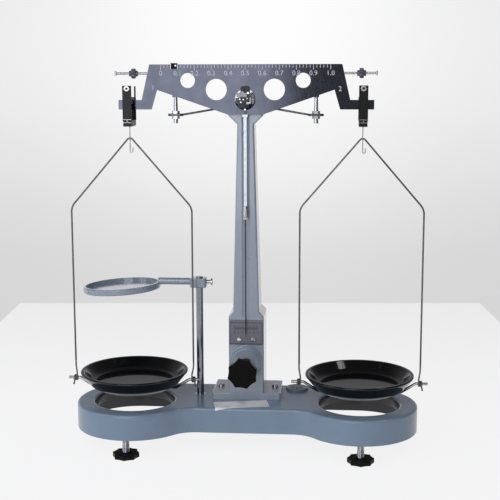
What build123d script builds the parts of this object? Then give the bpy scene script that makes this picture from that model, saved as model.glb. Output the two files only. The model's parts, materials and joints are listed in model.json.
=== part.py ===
from build123d import *
import math
import os

# Equal-arm prescription balance with knife edges, hanging pans, a rider scale and a beaker stand.
# Millimetres. +Z is up and +X is to the right along the beam; the front faces -Y.
# Z = 0 is the surface under the feet, and the beam hangs in the plane Y = 0.

# ---------------------------------------------------------------- driving dimensions
# General fits
RUN_FIT = 0.05            # radial play of a shaft or pin in its bore
PART_GAP = 0.3            # gap between a loose piece and its seat
SWING_GAP = 0.08          # radial play of a wire in an eye

# Base casting
ARM = 130.0               # centre knife to end knife, and column to lobe centre
FOOT_HEIGHT = 22.5        # underside of the base above the surface
BASE_THICK = 29.0
LOBE_R = 66.5
LOBE_HOLE_R = 46.0
WAIST_FRONT = 31.7        # front edge of the waist, in front of the beam plane
WAIST_BLEND_R = 34.0
BASE_WALL = 5.0
BASE_TOP_WALL = 6.0
BASE_EDGE_R = 3.0
HOLE_LIP = 12.0           # depth of the rim round each lobe's hole
BOSS_WALL = 4.5           # wall of a boss around its bore

# Levelling feet
FOOT_X = 131.3
FOOT_Y = 55.0             # feet in front of the beam plane
FOOT_SCREW_R = 4.1
FOOT_BUSH_WALL = 1.6
FOOT_KNOB_R = 15.4
FOOT_KNOB_THICK = 6.0
FOOT_SCREW_ENGAGE = 17.0  # screw inside the boss
REAR_FOOT_R = 8.0
REAR_FOOT_Y = 50.0
KNOB_LOBES = 8
KNOB_SCALLOP = 0.9        # hollow of each scallop below its chord

# Pillar
PILLAR_FRONT = 2.5        # front face of the pillar behind the beam plane
FLANGE_HALF = 39.5
FLANGE_DEPTH = 56.0
FLANGE_THICK = 8.0
FLANGE_SCREW_X = 32.0
FLANGE_SCREW_BACK = 28.0  # screws behind the front face
BLOCK_HALF = 20.3
BLOCK_DEPTH = 50.0
BLOCK_TOP = 149.6
SHOULDER_RISE = 6.4       # slope from the block up to the shaft
SHAFT_HALF_LOW = 15.0
SHAFT_DEPTH_LOW = 46.0
SHAFT_HALF_HIGH = 9.5
SHAFT_DEPTH_HIGH = 30.0
HEAD_HALF = 19.6
HEAD_DEPTH = 33.0
HEAD_RISE = 10.0          # flare from the shaft up to the head
HEAD_SEAT = 4.6           # head above the flare
HEAD_LAP = 3.5            # head behind the lower edge of the beam
HORN_RISE = 10.0          # horns above the head
HORN_WIDTH = 6.4
GROOVE_HALF = 4.5
GROOVE_DEPTH = 1.8
ROD_BACK = 15.0           # lift rod behind the pillar's front face
CHAMBER_HALF = 13.0
CHAMBER_FRONT_WALL = 7.0
CHAMBER_RISE = 24.0       # chamber above the shaft
CHAMBER_DROP = 19.0       # chamber below the shaft
COVER_THICK = 1.5
COVER_LAP = 5.0           # cover beyond the chamber on each side

# Arrest knob and cam
SHAFT_Z = 97.6
SHAFT_R = 3.5
BUSH_WALL = 2.5
ARREST_BOSS_R = 18.3
ARREST_BOSS_OUT = 8.5
ARREST_KNOB_R = 17.5
ARREST_KNOB_THICK = 10.0
ARREST_KNOB_FRONT = 53.5  # front of the knob in front of the beam plane
KNOB_TURN = 17.0          # degrees, how its lobes stand at rest
KNOB_HUB_R = 5.8
CAM_R = 8.0
CAM_THICK = 6.0
LIFT = 2.5                # how far the knob raises the beam
CAM_GAP = 0.15            # cam to the foot of the rod

# Lift rod and bearings
ROD_R = 4.0
ROD_FOOT_R = 7.2
ROD_FOOT_THICK = 4.0
GUIDE_WALL = 1.8
GUIDE_LENGTH = 14.0
SADDLE_HALF = 12.4
NOSE_HALF = 5.0
NOSE_THICK = 3.6
NOSE_FRONT = 8.4          # front of the nose in front of the beam plane
AGATE_THICK = 1.05
END_PLATE_LEFT = 7.4
END_PLATE_RIGHT = 2.0
END_PLATE_RISE = 6.6      # top of the end plate above the knives
END_PLATE_THICK = 1.4
GUARD_Y = 13.0            # guard posts behind the beam plane
LEFT_GUARD_X = 10.9
LEFT_GUARD_R = 1.4
LEFT_GUARD_RISE = 5.4
RIGHT_GUARD_X = 7.6
RIGHT_GUARD_R = 3.1
RIGHT_GUARD_RISE = 11.8
KNIFE_GAP = 0.05          # knife edge to its bearing

# Beam
KNIFE_HEIGHT = 341.5      # knife edges above the top of the base
PLATE_THICK = 1.8
BEAM_RISE = 42.6          # top edge above the knives
BEAM_DROP = 12.5          # lowest edge below the knives
BEAM_TOP_HALF = 106.7
TAB_REACH = 12.0          # tab beyond the end knife
TAB_RISE = 3.6            # tab above the knives
TAB_DROP = 6.9            # tab below the knives
TAB_OUTER_NECK = 14.2     # leg's outer edge inside the end knife
TAB_INNER_NECK = 25.2     # leg's inner edge inside the end knife
NOTCH_X = 98.4
NOTCH_RISE = 14.6
BEAM_FLAT_HALF = 19.5
SMALL_HOLE_X = 64.0
SMALL_HOLE_RISE = 24.9
SMALL_HOLE_R = 8.2
LARGE_HOLE_X = 32.2
LARGE_HOLE_RISE = 15.0
LARGE_HOLE_R = 11.7
WINDOW_RISE = 4.0
WINDOW_R = 11.6
KNIFE_HALF = 3.4
KNIFE_DEEP = 6.0
KNIFE_REACH = 12.0        # end knife in front of and behind the beam plane
CENTRE_KNIFE_REACH = 7.3
END_KNIFE_DROP = 0.5      # end knives below the centre knife, so that a load steadies the beam
END_KNIFE_HALF = 2.6
END_KNIFE_DEEP = 5.2
HOLDER_HALF = 5.3
HOLDER_THICK = 5.2
HOLDER_BAR_HALF = 1.6
CHEEK_HALF = 5.2
CHEEK_THICK = 1.8
CHEEK_OVERLAP = 3.4
CLAMP_BAR_LEFT = 9.2
CLAMP_BAR_LOW = 6.8       # clamp bar above the knives
CLAMP_BAR_HIGH = 4.5
CLAMP_CREST = 2.0         # raised part of the clamp bar
CLAMP_CREST_LEFT = 4.2
CLAMP_CREST_RIGHT = 1.6
CLAMP_SLOPE = 0.8         # rise of its right side
CLAMP_LONG_SLOPE = 2.2
SMALL_SCREW_R = 1.5

# Rest arms and pins
REST_X = 78.3
REST_PIN_R = 2.0
REST_PIN_FOOT_R = 2.5
REST_PIN_OVERLAP = 2.0    # tip behind the lower edge of the beam
REST_PIN_LENGTH = 32.0
REST_STOP_GAP = 3.8       # tip to its stop on the beam
STOP_LIP = 0.7            # stop's front wall
STOP_WALL = 2.0
STOP_DROP = 1.2           # stop below the lower edge of the beam
REST_ARM_R = 1.15
REST_ARM_START = 3.4      # where an arm leaves the horn, below the knives
REST_ARM_BACK = 7.0       # end of an arm behind the front of its horn
REST_ARM_SINK = 5.0       # arm inside its horn
REST_ARM_LAP = 2.0        # arm inside its eye
REST_EYE_DROP = 13.0      # middle of the eye below the knives
REST_EYE_HALF = 8.6
REST_EYE_WIDE = 8.0
REST_EYE_THICK = 2.6
REST_NUT_R = 4.4
REST_NUT_THICK = 3.0

# Adjusting rods, nuts and rider
ADJUST_RISE = 32.6
ADJUST_ROD_R = 1.5
ADJUST_TANG_R = 0.6
ADJUST_ROD_END = 145.5
ADJUST_HEAD_R = 2.6
ADJUST_HEAD_THICK = 1.8
ADJUST_TANG = 8.0         # rod inside the beam's edge
LEFT_NUT_SHARE = 0.446    # nut along the free rod, from the beam to the head
RIGHT_NUT_SHARE = 0.541
NUT_R = 5.5
NUT_THICK = 5.0
NUT_HUB_R = 3.2
NUT_HUB_OUT = 2.4
RIDER_X = -78.8
RIDER_WIDTH = 8.0
RIDER_DROP = 5.0
RIDER_WALL = 1.3

# Pointer
POINTER_WIDTH = 3.4
POINTER_THICK = 3.0
POINTER_TOP = 5.6         # top of the pointer below the knives
POINTER_LENGTH = 123.0
POINTER_STEM_HALF = 1.2   # pointer where it crosses the beam
POINTER_CLAMP_HALF = 2.9
POINTER_CLAMP_HIGH = 3.2
POINTER_CLAMP_THICK = 3.8
NEEDLE_R = 0.6
NEEDLE_TIP_Z = 128.0
NEEDLE_TAPER = 5.0        # length of its point
NEEDLE_TIP_R = 0.15
WEIGHT_R = 3.1
WEIGHT_LENGTH = 15.0
WEIGHT_OVER = 1.0         # weight below the end of the bar

# Scale plate
SCALE_TOP = 146.4
SCALE_HIGH = 28.8
SCALE_THICK = 1.2
SCALE_SCREW_X = 8.1
SCALE_SCREW_RISE = 6.2

# Stirrups
STIRRUP_HALF = 5.0
STIRRUP_PLATE = 1.5
STIRRUP_INNER = 13.0      # inner face of each side plate from the beam plane
STIRRUP_RISE = 20.0
STIRRUP_DROP = 19.0
STIRRUP_BLOCK = 5.8
STIRRUP_BLOCK_HALF = 4.6
REAR_FINGER_X = 4.0       # finger beside the middle of the rear plate
REAR_FINGER_HALF = 0.8
REAR_SHOULDER = 7.0       # wide part of the rear plate above the knives
LEDGE_HALF = 4.0
LEDGE_THICK = 3.6
BEARING_THICK = 3.0
BEARING_NEAR = 1.0        # bearing to the face of the beam plate
STIRRUP_BOLT_RISE = 16.8
STIRRUP_BOLT_R = 1.6
STIRRUP_BOLT_HEAD_R = 3.2
STIRRUP_BOLT_HEAD = 1.3
STIRRUP_NUT_THICK = 2.0

# Hooks and bows
PIN_R = 0.8
PIN_DROP = 22.0           # hook pin below the knives
HOOK_WIRE_R = 0.6
HOOK_EYE_R = 0.55         # wire of its eyes
BOW_APEX_DROP = 38.5      # bow in its eye, below the knives
SPECIMEN_HOOK_DROP = 16.0 # bottom of the hook below the bow
SPECIMEN_HOOK_R = 1.5
BOW_WIRE_R = 1.0
BOW_EYE_WIRE_R = 0.92     # wire of its eyes
BOW_HALF = 69.0
BOW_SHOULDER_DROP = 78.0
BOW_SHOULDER_R = 16.0
BOW_APEX_R = 4.0
BOW_TAIL = 5.5
BOW_EYE_TURNS = 3
BOW_TURN_OVERLAP = 0.14   # each turn of an eye into the next

# Pans and carriers
PAN_CLEAR = 16.0          # pan above the top of the base
PAN_R = 63.3
PAN_FLOOR_R = 48.0
PAN_HIGH = 18.8
PAN_WALL = 4.0
PAN_FLOOR = 6.6           # inner floor above the underside
PAN_BEND_R = 16.0
PAN_LIP_R = 1.2           # rounded edges of the lip
PAN_FOOT_R = 29.0         # recess in the underside
PAN_FOOT = 2.6            # depth of the recess
CARRIER_R = 1.7           # arms
CARRIER_WIRE_R = 1.5      # ring
CARRIER_RING_R = 34.0
EAR_RISE = 8.0            # ears above the underside of the pan
EAR_REACH = 9.0           # ears beyond the bow
EAR_BEND_R = 5.0

# Beaker stand
POST_X = -56.3
POST_R = 4.1
POST_TOP = 192.5
SOCKET_WALL = 2.4
TRAY_R = 45.2
TRAY_REACH = 91.2         # post to the middle of the tray
TRAY_Z = 175.6            # underside of the rim in the middle
TRAY_RIM = 7.2
TRAY_FLOOR = 3.0
TRAY_RIM_WALL = 3.0
TRAY_DROOP = 3.6          # degrees, outer end down
TRAY_NOD = 1.5            # degrees, rear edge down
TRAY_ARM_HIGH = 8.0
TRAY_ARM_RISE = 2.5       # arm above the bottom of the clamp block
TRAY_ARM_CORNER = 3.4
TRAY_ARM_WIDE = 8.0
CLAMP_LEFT = 10.6         # clamp block to the left of the post
CLAMP_RIGHT = 8.6
CLAMP_HALF_Y = 8.0
CLAMP_LOW = 180.0
CLAMP_HIGH = 11.0
CLAMP_CORNER = 3.4
CLAMP_EDGE_R = 1.2
THUMB_RISE = 6.2          # screw above the bottom of the clamp block
THUMB_R = 2.2
THUMB_NECK = 5.0
THUMB_HEAD_R = 3.8
THUMB_HEAD = 1.8

# Round level and label
LEVEL_X = 57.1
LEVEL_Y = 50.0
LEVEL_R = 13.2
LEVEL_HIGH = 2.6
LEVEL_GLASS_R = 7.0
LEVEL_SCREW_X = 10.0
LABEL_LENGTH = 62.0
LABEL_WIDE = 19.0
LABEL_THICK = 0.3
LABEL_X = -5.0
LABEL_Y = -13.1
LABEL_TURN = 11.5         # degrees

# ---------------------------------------------------------------- places worked out from them
BASE_TOP = FOOT_HEIGHT + BASE_THICK
KNIFE_Z = BASE_TOP + KNIFE_HEIGHT
PLATE_HALF = PLATE_THICK / 2
ROD_Y = PILLAR_FRONT + ROD_BACK
FLANGE_TOP = BASE_TOP + FLANGE_THICK
HEAD_TOP = KNIFE_Z - BEAM_DROP + HEAD_LAP
FLARE_TOP = HEAD_TOP - HEAD_SEAT
SHAFT_TOP = FLARE_TOP - HEAD_RISE
END_Z = KNIFE_Z - END_KNIFE_DROP
BEARING_TOP = KNIFE_Z - KNIFE_GAP
NOSE_TOP = BEARING_TOP - AGATE_THICK
CAM_CENTRE_DROP = LIFT / 2
CAM_OFFSET = CAM_CENTRE_DROP
REST_Y = PLATE_HALF + STOP_LIP + PART_GAP + REST_PIN_R
ROD_FOOT_Z = SHAFT_Z - CAM_CENTRE_DROP + CAM_R + CAM_GAP
POST_Y = FOOT_Y + FOOT_KNOB_R - TRAY_R
PAN_Z = BASE_TOP + PAN_CLEAR
EAR_Z = PAN_Z + EAR_RISE
BOW_Z = END_Z - BOW_APEX_DROP
BOW_EYE_PITCH = 2 * BOW_EYE_WIRE_R - BOW_TURN_OVERLAP
POINTER_Y = -PLATE_HALF - POINTER_THICK / 2
POINTER_BAR_TOP = KNIFE_Z - POINTER_TOP
POINTER_BAR_END = POINTER_BAR_TOP - POINTER_LENGTH
POINTER_CLAMP_TOP = KNIFE_Z - BEAM_DROP + 0.4
SIDES = {"left": -1, "right": 1}


# ---------------------------------------------------------------- simple shapes
def block(x0, x1, y0, y1, z0, z1):
    """Box between two corners."""
    return Pos((x0 + x1) / 2, (y0 + y1) / 2, (z0 + z1) / 2) * Box(x1 - x0, y1 - y0, z1 - z0)


def bar_x(x0, x1, y, z, r):
    """Round bar along X."""
    return Pos((x0 + x1) / 2, y, z) * Rot(0, 90, 0) * Cylinder(r, abs(x1 - x0))


def bar_y(x, y0, y1, z, r):
    """Round bar along Y."""
    return Pos(x, (y0 + y1) / 2, z) * Rot(90, 0, 0) * Cylinder(r, abs(y1 - y0))


def bar_z(x, y, z0, z1, r):
    """Round bar along Z."""
    return Pos(x, y, (z0 + z1) / 2) * Cylinder(r, abs(z1 - z0))


def bar_between(start, end, r):
    """Round bar from one point to another."""
    a, b = Vector(*start), Vector(*end)
    return Plane(origin=(a + b) / 2, z_dir=b - a) * Cylinder(r, (b - a).length)


def ring_x(x, y, z, ring_r, wire_r):
    """Wire ring whose axis lies along X."""
    return Pos(x, y, z) * Rot(0, 90, 0) * Torus(ring_r, wire_r)


def front_plate(points, y0, y1):
    """Flat plate of the outline seen from the front, between y0 and y1."""
    face = Plane(origin=(0, y1, 0), x_dir=(1, 0, 0), z_dir=(0, -1, 0)) * make_face(
        Polyline(*points, close=True))
    return extrude(face, y1 - y0)


def rounded_section(half, depth, y_front, z, corner):
    """Horizontal rounded rectangle with its front edge at y_front."""
    return Pos(0, y_front + depth / 2, z) * RectangleRounded(2 * half, depth, corner)


def scalloped_disc(r, thick, lobes, hollow, edge_r, turn=0):
    """Hand wheel with a shallow scallop between every two of its tips, standing on z = 0."""
    half_chord = r * math.sin(math.pi / lobes)
    scallop_r = (half_chord ** 2 + hollow ** 2) / (2 * hollow)
    middle = r * math.cos(math.pi / lobes) - hollow + scallop_r
    wheel = Circle(r)
    for i in range(lobes):
        wheel -= Rot(0, 0, turn + 360 / lobes * (i + 0.5)) * Pos(middle, 0) * Circle(scallop_r)
    wheel = fillet(wheel.vertices(), r * 0.09)
    disc = extrude(wheel, thick)
    rims = disc.edges().filter_by_position(Axis.Z, thick - 0.01, thick + 0.01)
    rims += disc.edges().filter_by_position(Axis.Z, -0.01, 0.01)
    return fillet(rims, edge_r)


def slotted_screw(r, head_r, head, length, slot=0.5):
    """Screw standing on z = 0 with its slotted head above it and its shank below."""
    screw = Cylinder(head_r, head, align=(Align.CENTER, Align.CENTER, Align.MIN))
    screw = fillet(screw.edges().sort_by(Axis.Z)[-1], head * 0.4)
    screw += Cylinder(r, length, align=(Align.CENTER, Align.CENTER, Align.MAX))
    return screw - Pos(0, 0, head) * Box(3 * head_r, head_r * 0.28, slot * head * 2)


def facing_front(shape, x, y, z):
    """Turn a shape that stands on z = 0 so that its top faces the front."""
    return Pos(x, y, z) * Rot(90, 0, 0) * shape


def save(shape, node):
    """Write one node."""
    export_step(shape, f"parts/{node}.step")


def group(solids):
    """Separate solids that share a node."""
    return Compound(children=list(solids))


# ---------------------------------------------------------------- base casting
def base_outline(inset):
    """Two lobes joined by a waist, with a straight back edge."""
    r = LOBE_R - inset
    waist = WAIST_FRONT - inset
    outline = Pos(-ARM, 0) * Circle(r) + Pos(ARM, 0) * Circle(r)
    outline += Pos(0, (r - waist) / 2) * Rectangle(2 * ARM, r + waist)
    corners = [v for v in outline.vertices() if v.Y < 0.01 - waist and abs(v.X) < ARM - r / 2]
    return fillet(corners, WAIST_BLEND_R + inset)


def base_casting():
    """Hollow casting, open underneath, with its bosses."""
    body = extrude(Pos(0, 0, FOOT_HEIGHT) * base_outline(0), BASE_THICK)
    for side in SIDES.values():
        body -= bar_z(side * ARM, 0, 0, BASE_TOP + 1, LOBE_HOLE_R)
    top = body.edges().filter_by_position(Axis.Z, BASE_TOP - 0.01, BASE_TOP + 0.01)
    body = fillet(top, min(BASE_EDGE_R, BASE_TOP_WALL - 1))
    pocket = extrude(Pos(0, 0, FOOT_HEIGHT) * base_outline(BASE_WALL), BASE_THICK - BASE_TOP_WALL)
    for side in SIDES.values():
        pocket -= bar_z(side * ARM, 0, BASE_TOP - HOLE_LIP, BASE_TOP, LOBE_HOLE_R + BASE_WALL)
        pocket -= bar_z(side * FOOT_X, -FOOT_Y, 0, BASE_TOP, FOOT_SCREW_R + FOOT_BUSH_WALL + 2.8)
        pocket -= bar_z(side * FLANGE_SCREW_X, PILLAR_FRONT + FLANGE_SCREW_BACK, 0, BASE_TOP,
                        SCREW_R + BOSS_WALL)
    pocket -= bar_z(0, REAR_FOOT_Y, 0, BASE_TOP, REAR_FOOT_R)
    pocket -= bar_z(POST_X, POST_Y, 0, BASE_TOP, POST_R + SOCKET_WALL + BOSS_WALL)
    body -= pocket
    for side in SIDES.values():
        body -= bar_z(side * FOOT_X, -FOOT_Y, FOOT_HEIGHT - 1, FOOT_BORE_TOP,
                      FOOT_SCREW_R + FOOT_BUSH_WALL)
        body -= bar_z(side * FLANGE_SCREW_X, PILLAR_FRONT + FLANGE_SCREW_BACK,
                      BASE_TOP - SCREW_DEPTH, BASE_TOP + 1, SCREW_R)
    body -= bar_z(0, REAR_FOOT_Y, FOOT_HEIGHT - 1, FOOT_HEIGHT + REAR_STUD, REAR_STUD_R)
    body -= bar_z(POST_X, POST_Y, FOOT_HEIGHT + BASE_WALL, BASE_TOP + 1, POST_R + SOCKET_WALL)
    for x in (LEVEL_X - LEVEL_SCREW_X, LEVEL_X + LEVEL_SCREW_X):
        body -= bar_z(x, LEVEL_Y, BASE_TOP - SMALL_SCREW_GRIP, BASE_TOP + 1, SMALL_SCREW_R)
    return body


SCREW_R = 2.0
SCREW_DEPTH = 12.0
REAR_STUD = 8.0
REAR_STUD_R = 3.0
FOOT_BORE_SPARE = 5.5     # bore above the screw
FOOT_BORE_TOP = FOOT_HEIGHT + FOOT_SCREW_ENGAGE + FOOT_BORE_SPARE


def foot_bushes():
    """Threaded bushes pressed into the front bosses."""
    for side in SIDES.values():
        bush = bar_z(side * FOOT_X, -FOOT_Y, FOOT_HEIGHT, FOOT_BORE_TOP,
                     FOOT_SCREW_R + FOOT_BUSH_WALL)
        yield bush - bar_z(side * FOOT_X, -FOOT_Y, 0, BASE_TOP, FOOT_SCREW_R + RUN_FIT)


def rear_foot():
    """Fixed foot with its stud."""
    foot = bar_z(0, REAR_FOOT_Y, 0, FOOT_HEIGHT, REAR_FOOT_R)
    foot = chamfer(foot.edges().sort_by(Axis.Z)[0], 1.0)
    return foot + bar_z(0, REAR_FOOT_Y, FOOT_HEIGHT, FOOT_HEIGHT + REAR_STUD, REAR_STUD_R)


def foot_knob(side):
    """Scalloped wheel of a levelling foot."""
    wheel = scalloped_disc(FOOT_KNOB_R, FOOT_KNOB_THICK, KNOB_LOBES, KNOB_SCALLOP, 0.9)
    knob = Pos(side * FOOT_X, -FOOT_Y, 0) * wheel
    return knob - bar_z(side * FOOT_X, -FOOT_Y, 1.5, FOOT_KNOB_THICK + 1, FOOT_SCREW_R)


def foot_screw(side):
    """Screw fixed in the wheel."""
    return bar_z(side * FOOT_X, -FOOT_Y, 1.5, FOOT_HEIGHT + FOOT_SCREW_ENGAGE, FOOT_SCREW_R)


# ---------------------------------------------------------------- pillar
CORNER = 2.0
GUIDE_R = ROD_R + GUIDE_WALL
SHAFT_BORE_R = SHAFT_R + BUSH_WALL
CHAMBER_BACK = PILLAR_FRONT + BLOCK_DEPTH
CHAMBER_FRONT = PILLAR_FRONT + CHAMBER_FRONT_WALL
CHAMBER_TOP = SHAFT_Z + CHAMBER_RISE
CHAMBER_BOTTOM = SHAFT_Z - CHAMBER_DROP
HORN_TOP = HEAD_TOP + HORN_RISE


def pillar():
    """Cast column: flange, block, tapering shaft with a groove, and a forked head."""
    low = BLOCK_TOP + SHOULDER_RISE
    flange = extrude(rounded_section(FLANGE_HALF, FLANGE_DEPTH, PILLAR_FRONT, BASE_TOP, CORNER),
                     FLANGE_THICK)
    flange = fillet(flange.edges().group_by(Axis.Z)[-1], 1.0)
    foot_block = extrude(rounded_section(BLOCK_HALF, BLOCK_DEPTH, PILLAR_FRONT, FLANGE_TOP - 1,
                                         CORNER), BLOCK_TOP - FLANGE_TOP + 1)
    shoulder = loft([rounded_section(BLOCK_HALF, BLOCK_DEPTH, PILLAR_FRONT, BLOCK_TOP, CORNER),
                     rounded_section(SHAFT_HALF_LOW, SHAFT_DEPTH_LOW, PILLAR_FRONT, low, CORNER)])
    shaft = loft([rounded_section(SHAFT_HALF_LOW, SHAFT_DEPTH_LOW, PILLAR_FRONT, low, CORNER),
                  rounded_section(SHAFT_HALF_HIGH, SHAFT_DEPTH_HIGH, PILLAR_FRONT, SHAFT_TOP,
                                  CORNER)])
    flare = loft([rounded_section(SHAFT_HALF_HIGH, SHAFT_DEPTH_HIGH, PILLAR_FRONT, SHAFT_TOP,
                                  CORNER),
                  rounded_section(HEAD_HALF, HEAD_DEPTH, PILLAR_FRONT, FLARE_TOP, CORNER)])
    head = extrude(rounded_section(HEAD_HALF, HEAD_DEPTH, PILLAR_FRONT, FLARE_TOP, CORNER),
                   HEAD_SEAT)
    column = flange + foot_block + shoulder + shaft + flare + head
    for side in SIDES.values():
        x0, x1 = sorted((side * (HEAD_HALF - HORN_WIDTH), side * HEAD_HALF))
        column += block(x0, x1, PILLAR_FRONT, PILLAR_FRONT + HEAD_DEPTH * 0.6, HEAD_TOP - 1,
                        HORN_TOP)
    column += bar_y(0, PILLAR_FRONT - ARREST_BOSS_OUT * 0.65, PILLAR_FRONT, SHAFT_Z, ARREST_BOSS_R)
    column += bar_y(0, PILLAR_FRONT - ARREST_BOSS_OUT, PILLAR_FRONT, SHAFT_Z, ARREST_BOSS_R - 2.6)
    column -= block(-CHAMBER_HALF, CHAMBER_HALF, CHAMBER_FRONT, CHAMBER_BACK + 1, CHAMBER_BOTTOM,
                    CHAMBER_TOP)
    column -= bar_z(0, ROD_Y, CHAMBER_BOTTOM + 1, HEAD_TOP + 1, GUIDE_R)
    column -= bar_y(0, PILLAR_FRONT - ARREST_BOSS_OUT - 1, CHAMBER_FRONT + 1, SHAFT_Z, SHAFT_BORE_R)
    groove_bottom = SCALE_TOP + 4
    groove = extrude(Plane(origin=(0, 0, groove_bottom)) * make_face(Polyline(
        (-GROOVE_HALF, PILLAR_FRONT - 1), (GROOVE_HALF, PILLAR_FRONT - 1),
        (GROOVE_HALF, PILLAR_FRONT), (0, PILLAR_FRONT + GROOVE_DEPTH), (-GROOVE_HALF, PILLAR_FRONT),
        close=True)), HEAD_TOP - groove_bottom + 1)
    column -= groove
    for side in SIDES.values():
        column -= bar_z(side * FLANGE_SCREW_X, PILLAR_FRONT + FLANGE_SCREW_BACK, BASE_TOP - 1,
                        FLANGE_TOP + 1, SCREW_R)
        column -= bar_between(*rest_arm_ends(side), REST_ARM_R)
    for x, z in scale_screw_places():
        column -= bar_y(x, PILLAR_FRONT - 1, PILLAR_FRONT - SCALE_THICK + SMALL_SCREW_GRIP, z,
                        SMALL_SCREW_R)
    for x, z in cover_screw_places():
        column -= bar_y(x, CHAMBER_BACK + COVER_THICK - SMALL_SCREW_GRIP, CHAMBER_BACK + 1, z,
                        SMALL_SCREW_R)
    return column


SMALL_SCREW_GRIP = 6.0


def scale_screw_places():
    """Screws near the lower edge of the scale plate."""
    z = SCALE_TOP - SCALE_HIGH + SCALE_SCREW_RISE
    return [(side * SCALE_SCREW_X, z) for side in SIDES.values()]


def cover_screw_places():
    """Screws in the lap of the rear cover."""
    x = CHAMBER_HALF + COVER_LAP / 2
    return [(side * x, z) for side in SIDES.values()
            for z in (CHAMBER_BOTTOM - COVER_LAP / 2, CHAMBER_TOP + COVER_LAP / 2)]


def pillar_screws():
    """Screws that hold the flange on the base."""
    for side in SIDES.values():
        yield Pos(side * FLANGE_SCREW_X, PILLAR_FRONT + FLANGE_SCREW_BACK, FLANGE_TOP) * slotted_screw(
            SCREW_R, 1.9 * SCREW_R, 2.6, FLANGE_THICK + SCREW_DEPTH)


def rod_guides():
    """Bushes at both ends of the bore of the lift rod."""
    for z0 in (CHAMBER_TOP, HEAD_TOP - GUIDE_LENGTH):
        guide = bar_z(0, ROD_Y, z0, z0 + GUIDE_LENGTH, GUIDE_R)
        yield guide - bar_z(0, ROD_Y, z0 - 1, z0 + GUIDE_LENGTH + 1, ROD_R + RUN_FIT)


def shaft_bush():
    """Bush of the arrest shaft."""
    y0 = PILLAR_FRONT - ARREST_BOSS_OUT
    bush = bar_y(0, y0, CHAMBER_FRONT, SHAFT_Z, SHAFT_BORE_R)
    return bush - bar_y(0, y0 - 1, CHAMBER_FRONT + 1, SHAFT_Z, SHAFT_R + RUN_FIT)


def rear_cover():
    """Plate over the back of the cam chamber."""
    half = CHAMBER_HALF + COVER_LAP
    cover = block(-half, half, CHAMBER_BACK, CHAMBER_BACK + COVER_THICK,
                  CHAMBER_BOTTOM - COVER_LAP, CHAMBER_TOP + COVER_LAP)
    cover = fillet(cover.edges().filter_by(Axis.Y), 2.0)
    for x, z in cover_screw_places():
        cover -= bar_y(x, CHAMBER_BACK - 1, CHAMBER_BACK + COVER_THICK + 1, z, SMALL_SCREW_R)
    return cover


def small_screws():
    """Equal screws of the rear cover, the scale plate and the level."""
    screw = slotted_screw(SMALL_SCREW_R, 2.4, 1.3, SMALL_SCREW_GRIP)
    for x, z in cover_screw_places():
        yield Pos(x, CHAMBER_BACK + COVER_THICK, z) * Rot(-90, 0, 0) * screw
    for x, z in scale_screw_places():
        yield facing_front(screw, x, PILLAR_FRONT - SCALE_THICK, z)
    for x in (LEVEL_X - LEVEL_SCREW_X, LEVEL_X + LEVEL_SCREW_X):
        yield Pos(x, LEVEL_Y, BASE_TOP + LEVEL_SEAT) * screw


def scale_plate():
    """Plate behind the tip of the pointer."""
    half = BLOCK_HALF - CORNER / 2
    plate = block(-half, half, PILLAR_FRONT - SCALE_THICK, PILLAR_FRONT, SCALE_TOP - SCALE_HIGH,
                  SCALE_TOP)
    for x, z in scale_screw_places():
        plate -= bar_y(x, 0, PILLAR_FRONT + 1, z, SMALL_SCREW_R)
    return plate


# ---------------------------------------------------------------- rest arms and pins
def rest_arm_ends(side):
    """Both ends of a rest arm's rod: in the horn, and at its eye."""
    start = (side * (HEAD_HALF - REST_ARM_SINK), PILLAR_FRONT + REST_ARM_BACK,
             KNIFE_Z - REST_ARM_START)
    end = (side * (REST_X - REST_EYE_HALF + REST_ARM_LAP), REST_Y, KNIFE_Z - REST_EYE_DROP)
    return start, end


def rest_arms():
    """Rods with flat eyes that carry the rest pins."""
    for side in SIDES.values():
        arm = bar_between(*rest_arm_ends(side), REST_ARM_R)
        eye_z = KNIFE_Z - REST_EYE_DROP - REST_EYE_THICK / 2
        eye = extrude(Pos(side * REST_X, REST_Y, eye_z) * SlotOverall(
            2 * REST_EYE_HALF, REST_EYE_WIDE), REST_EYE_THICK)
        yield arm + eye - bar_z(side * REST_X, REST_Y, eye_z - 1, eye_z + REST_EYE_THICK + 1,
                                REST_PIN_FOOT_R)


def beam_edge_z(x):
    """Lower edge of the beam between its flat and its leg."""
    low = KNIFE_Z - BEAM_DROP
    high = KNIFE_Z + NOTCH_RISE
    return low + (high - low) * (abs(x) - BEAM_FLAT_HALF) / (NOTCH_X - BEAM_FLAT_HALF)


REST_TIP_Z = beam_edge_z(REST_X) + REST_PIN_OVERLAP


def rest_pins():
    """Pins behind the lower edge of the beam, under its stops."""
    for side in SIDES.values():
        foot_z = KNIFE_Z - REST_EYE_DROP + REST_EYE_THICK / 2 + REST_NUT_THICK
        pin = bar_z(side * REST_X, REST_Y, REST_TIP_Z - REST_PIN_LENGTH, foot_z, REST_PIN_FOOT_R)
        pin += Pos(side * REST_X, REST_Y, (foot_z + REST_TIP_Z) / 2) * Cone(
            REST_PIN_FOOT_R, REST_PIN_R, REST_TIP_Z - foot_z)
        yield fillet(pin.edges().sort_by(Axis.Z)[-1], REST_PIN_R * 0.4)


def rest_stop(side):
    """Hooded stop on the back of the beam, over the tip of a rest pin."""
    half = REST_PIN_R + 1.2
    lip_y = PLATE_HALF + STOP_LIP
    ceiling = REST_TIP_Z + REST_STOP_GAP
    x = side * REST_X
    stop = block(x - half, x + half, PLATE_HALF - 0.2, lip_y, beam_edge_z(REST_X) - STOP_DROP,
                 ceiling + STOP_WALL)
    return stop + block(x - half, x + half, PLATE_HALF - 0.2, REST_Y + REST_PIN_R, ceiling,
                        ceiling + STOP_WALL)


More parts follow.
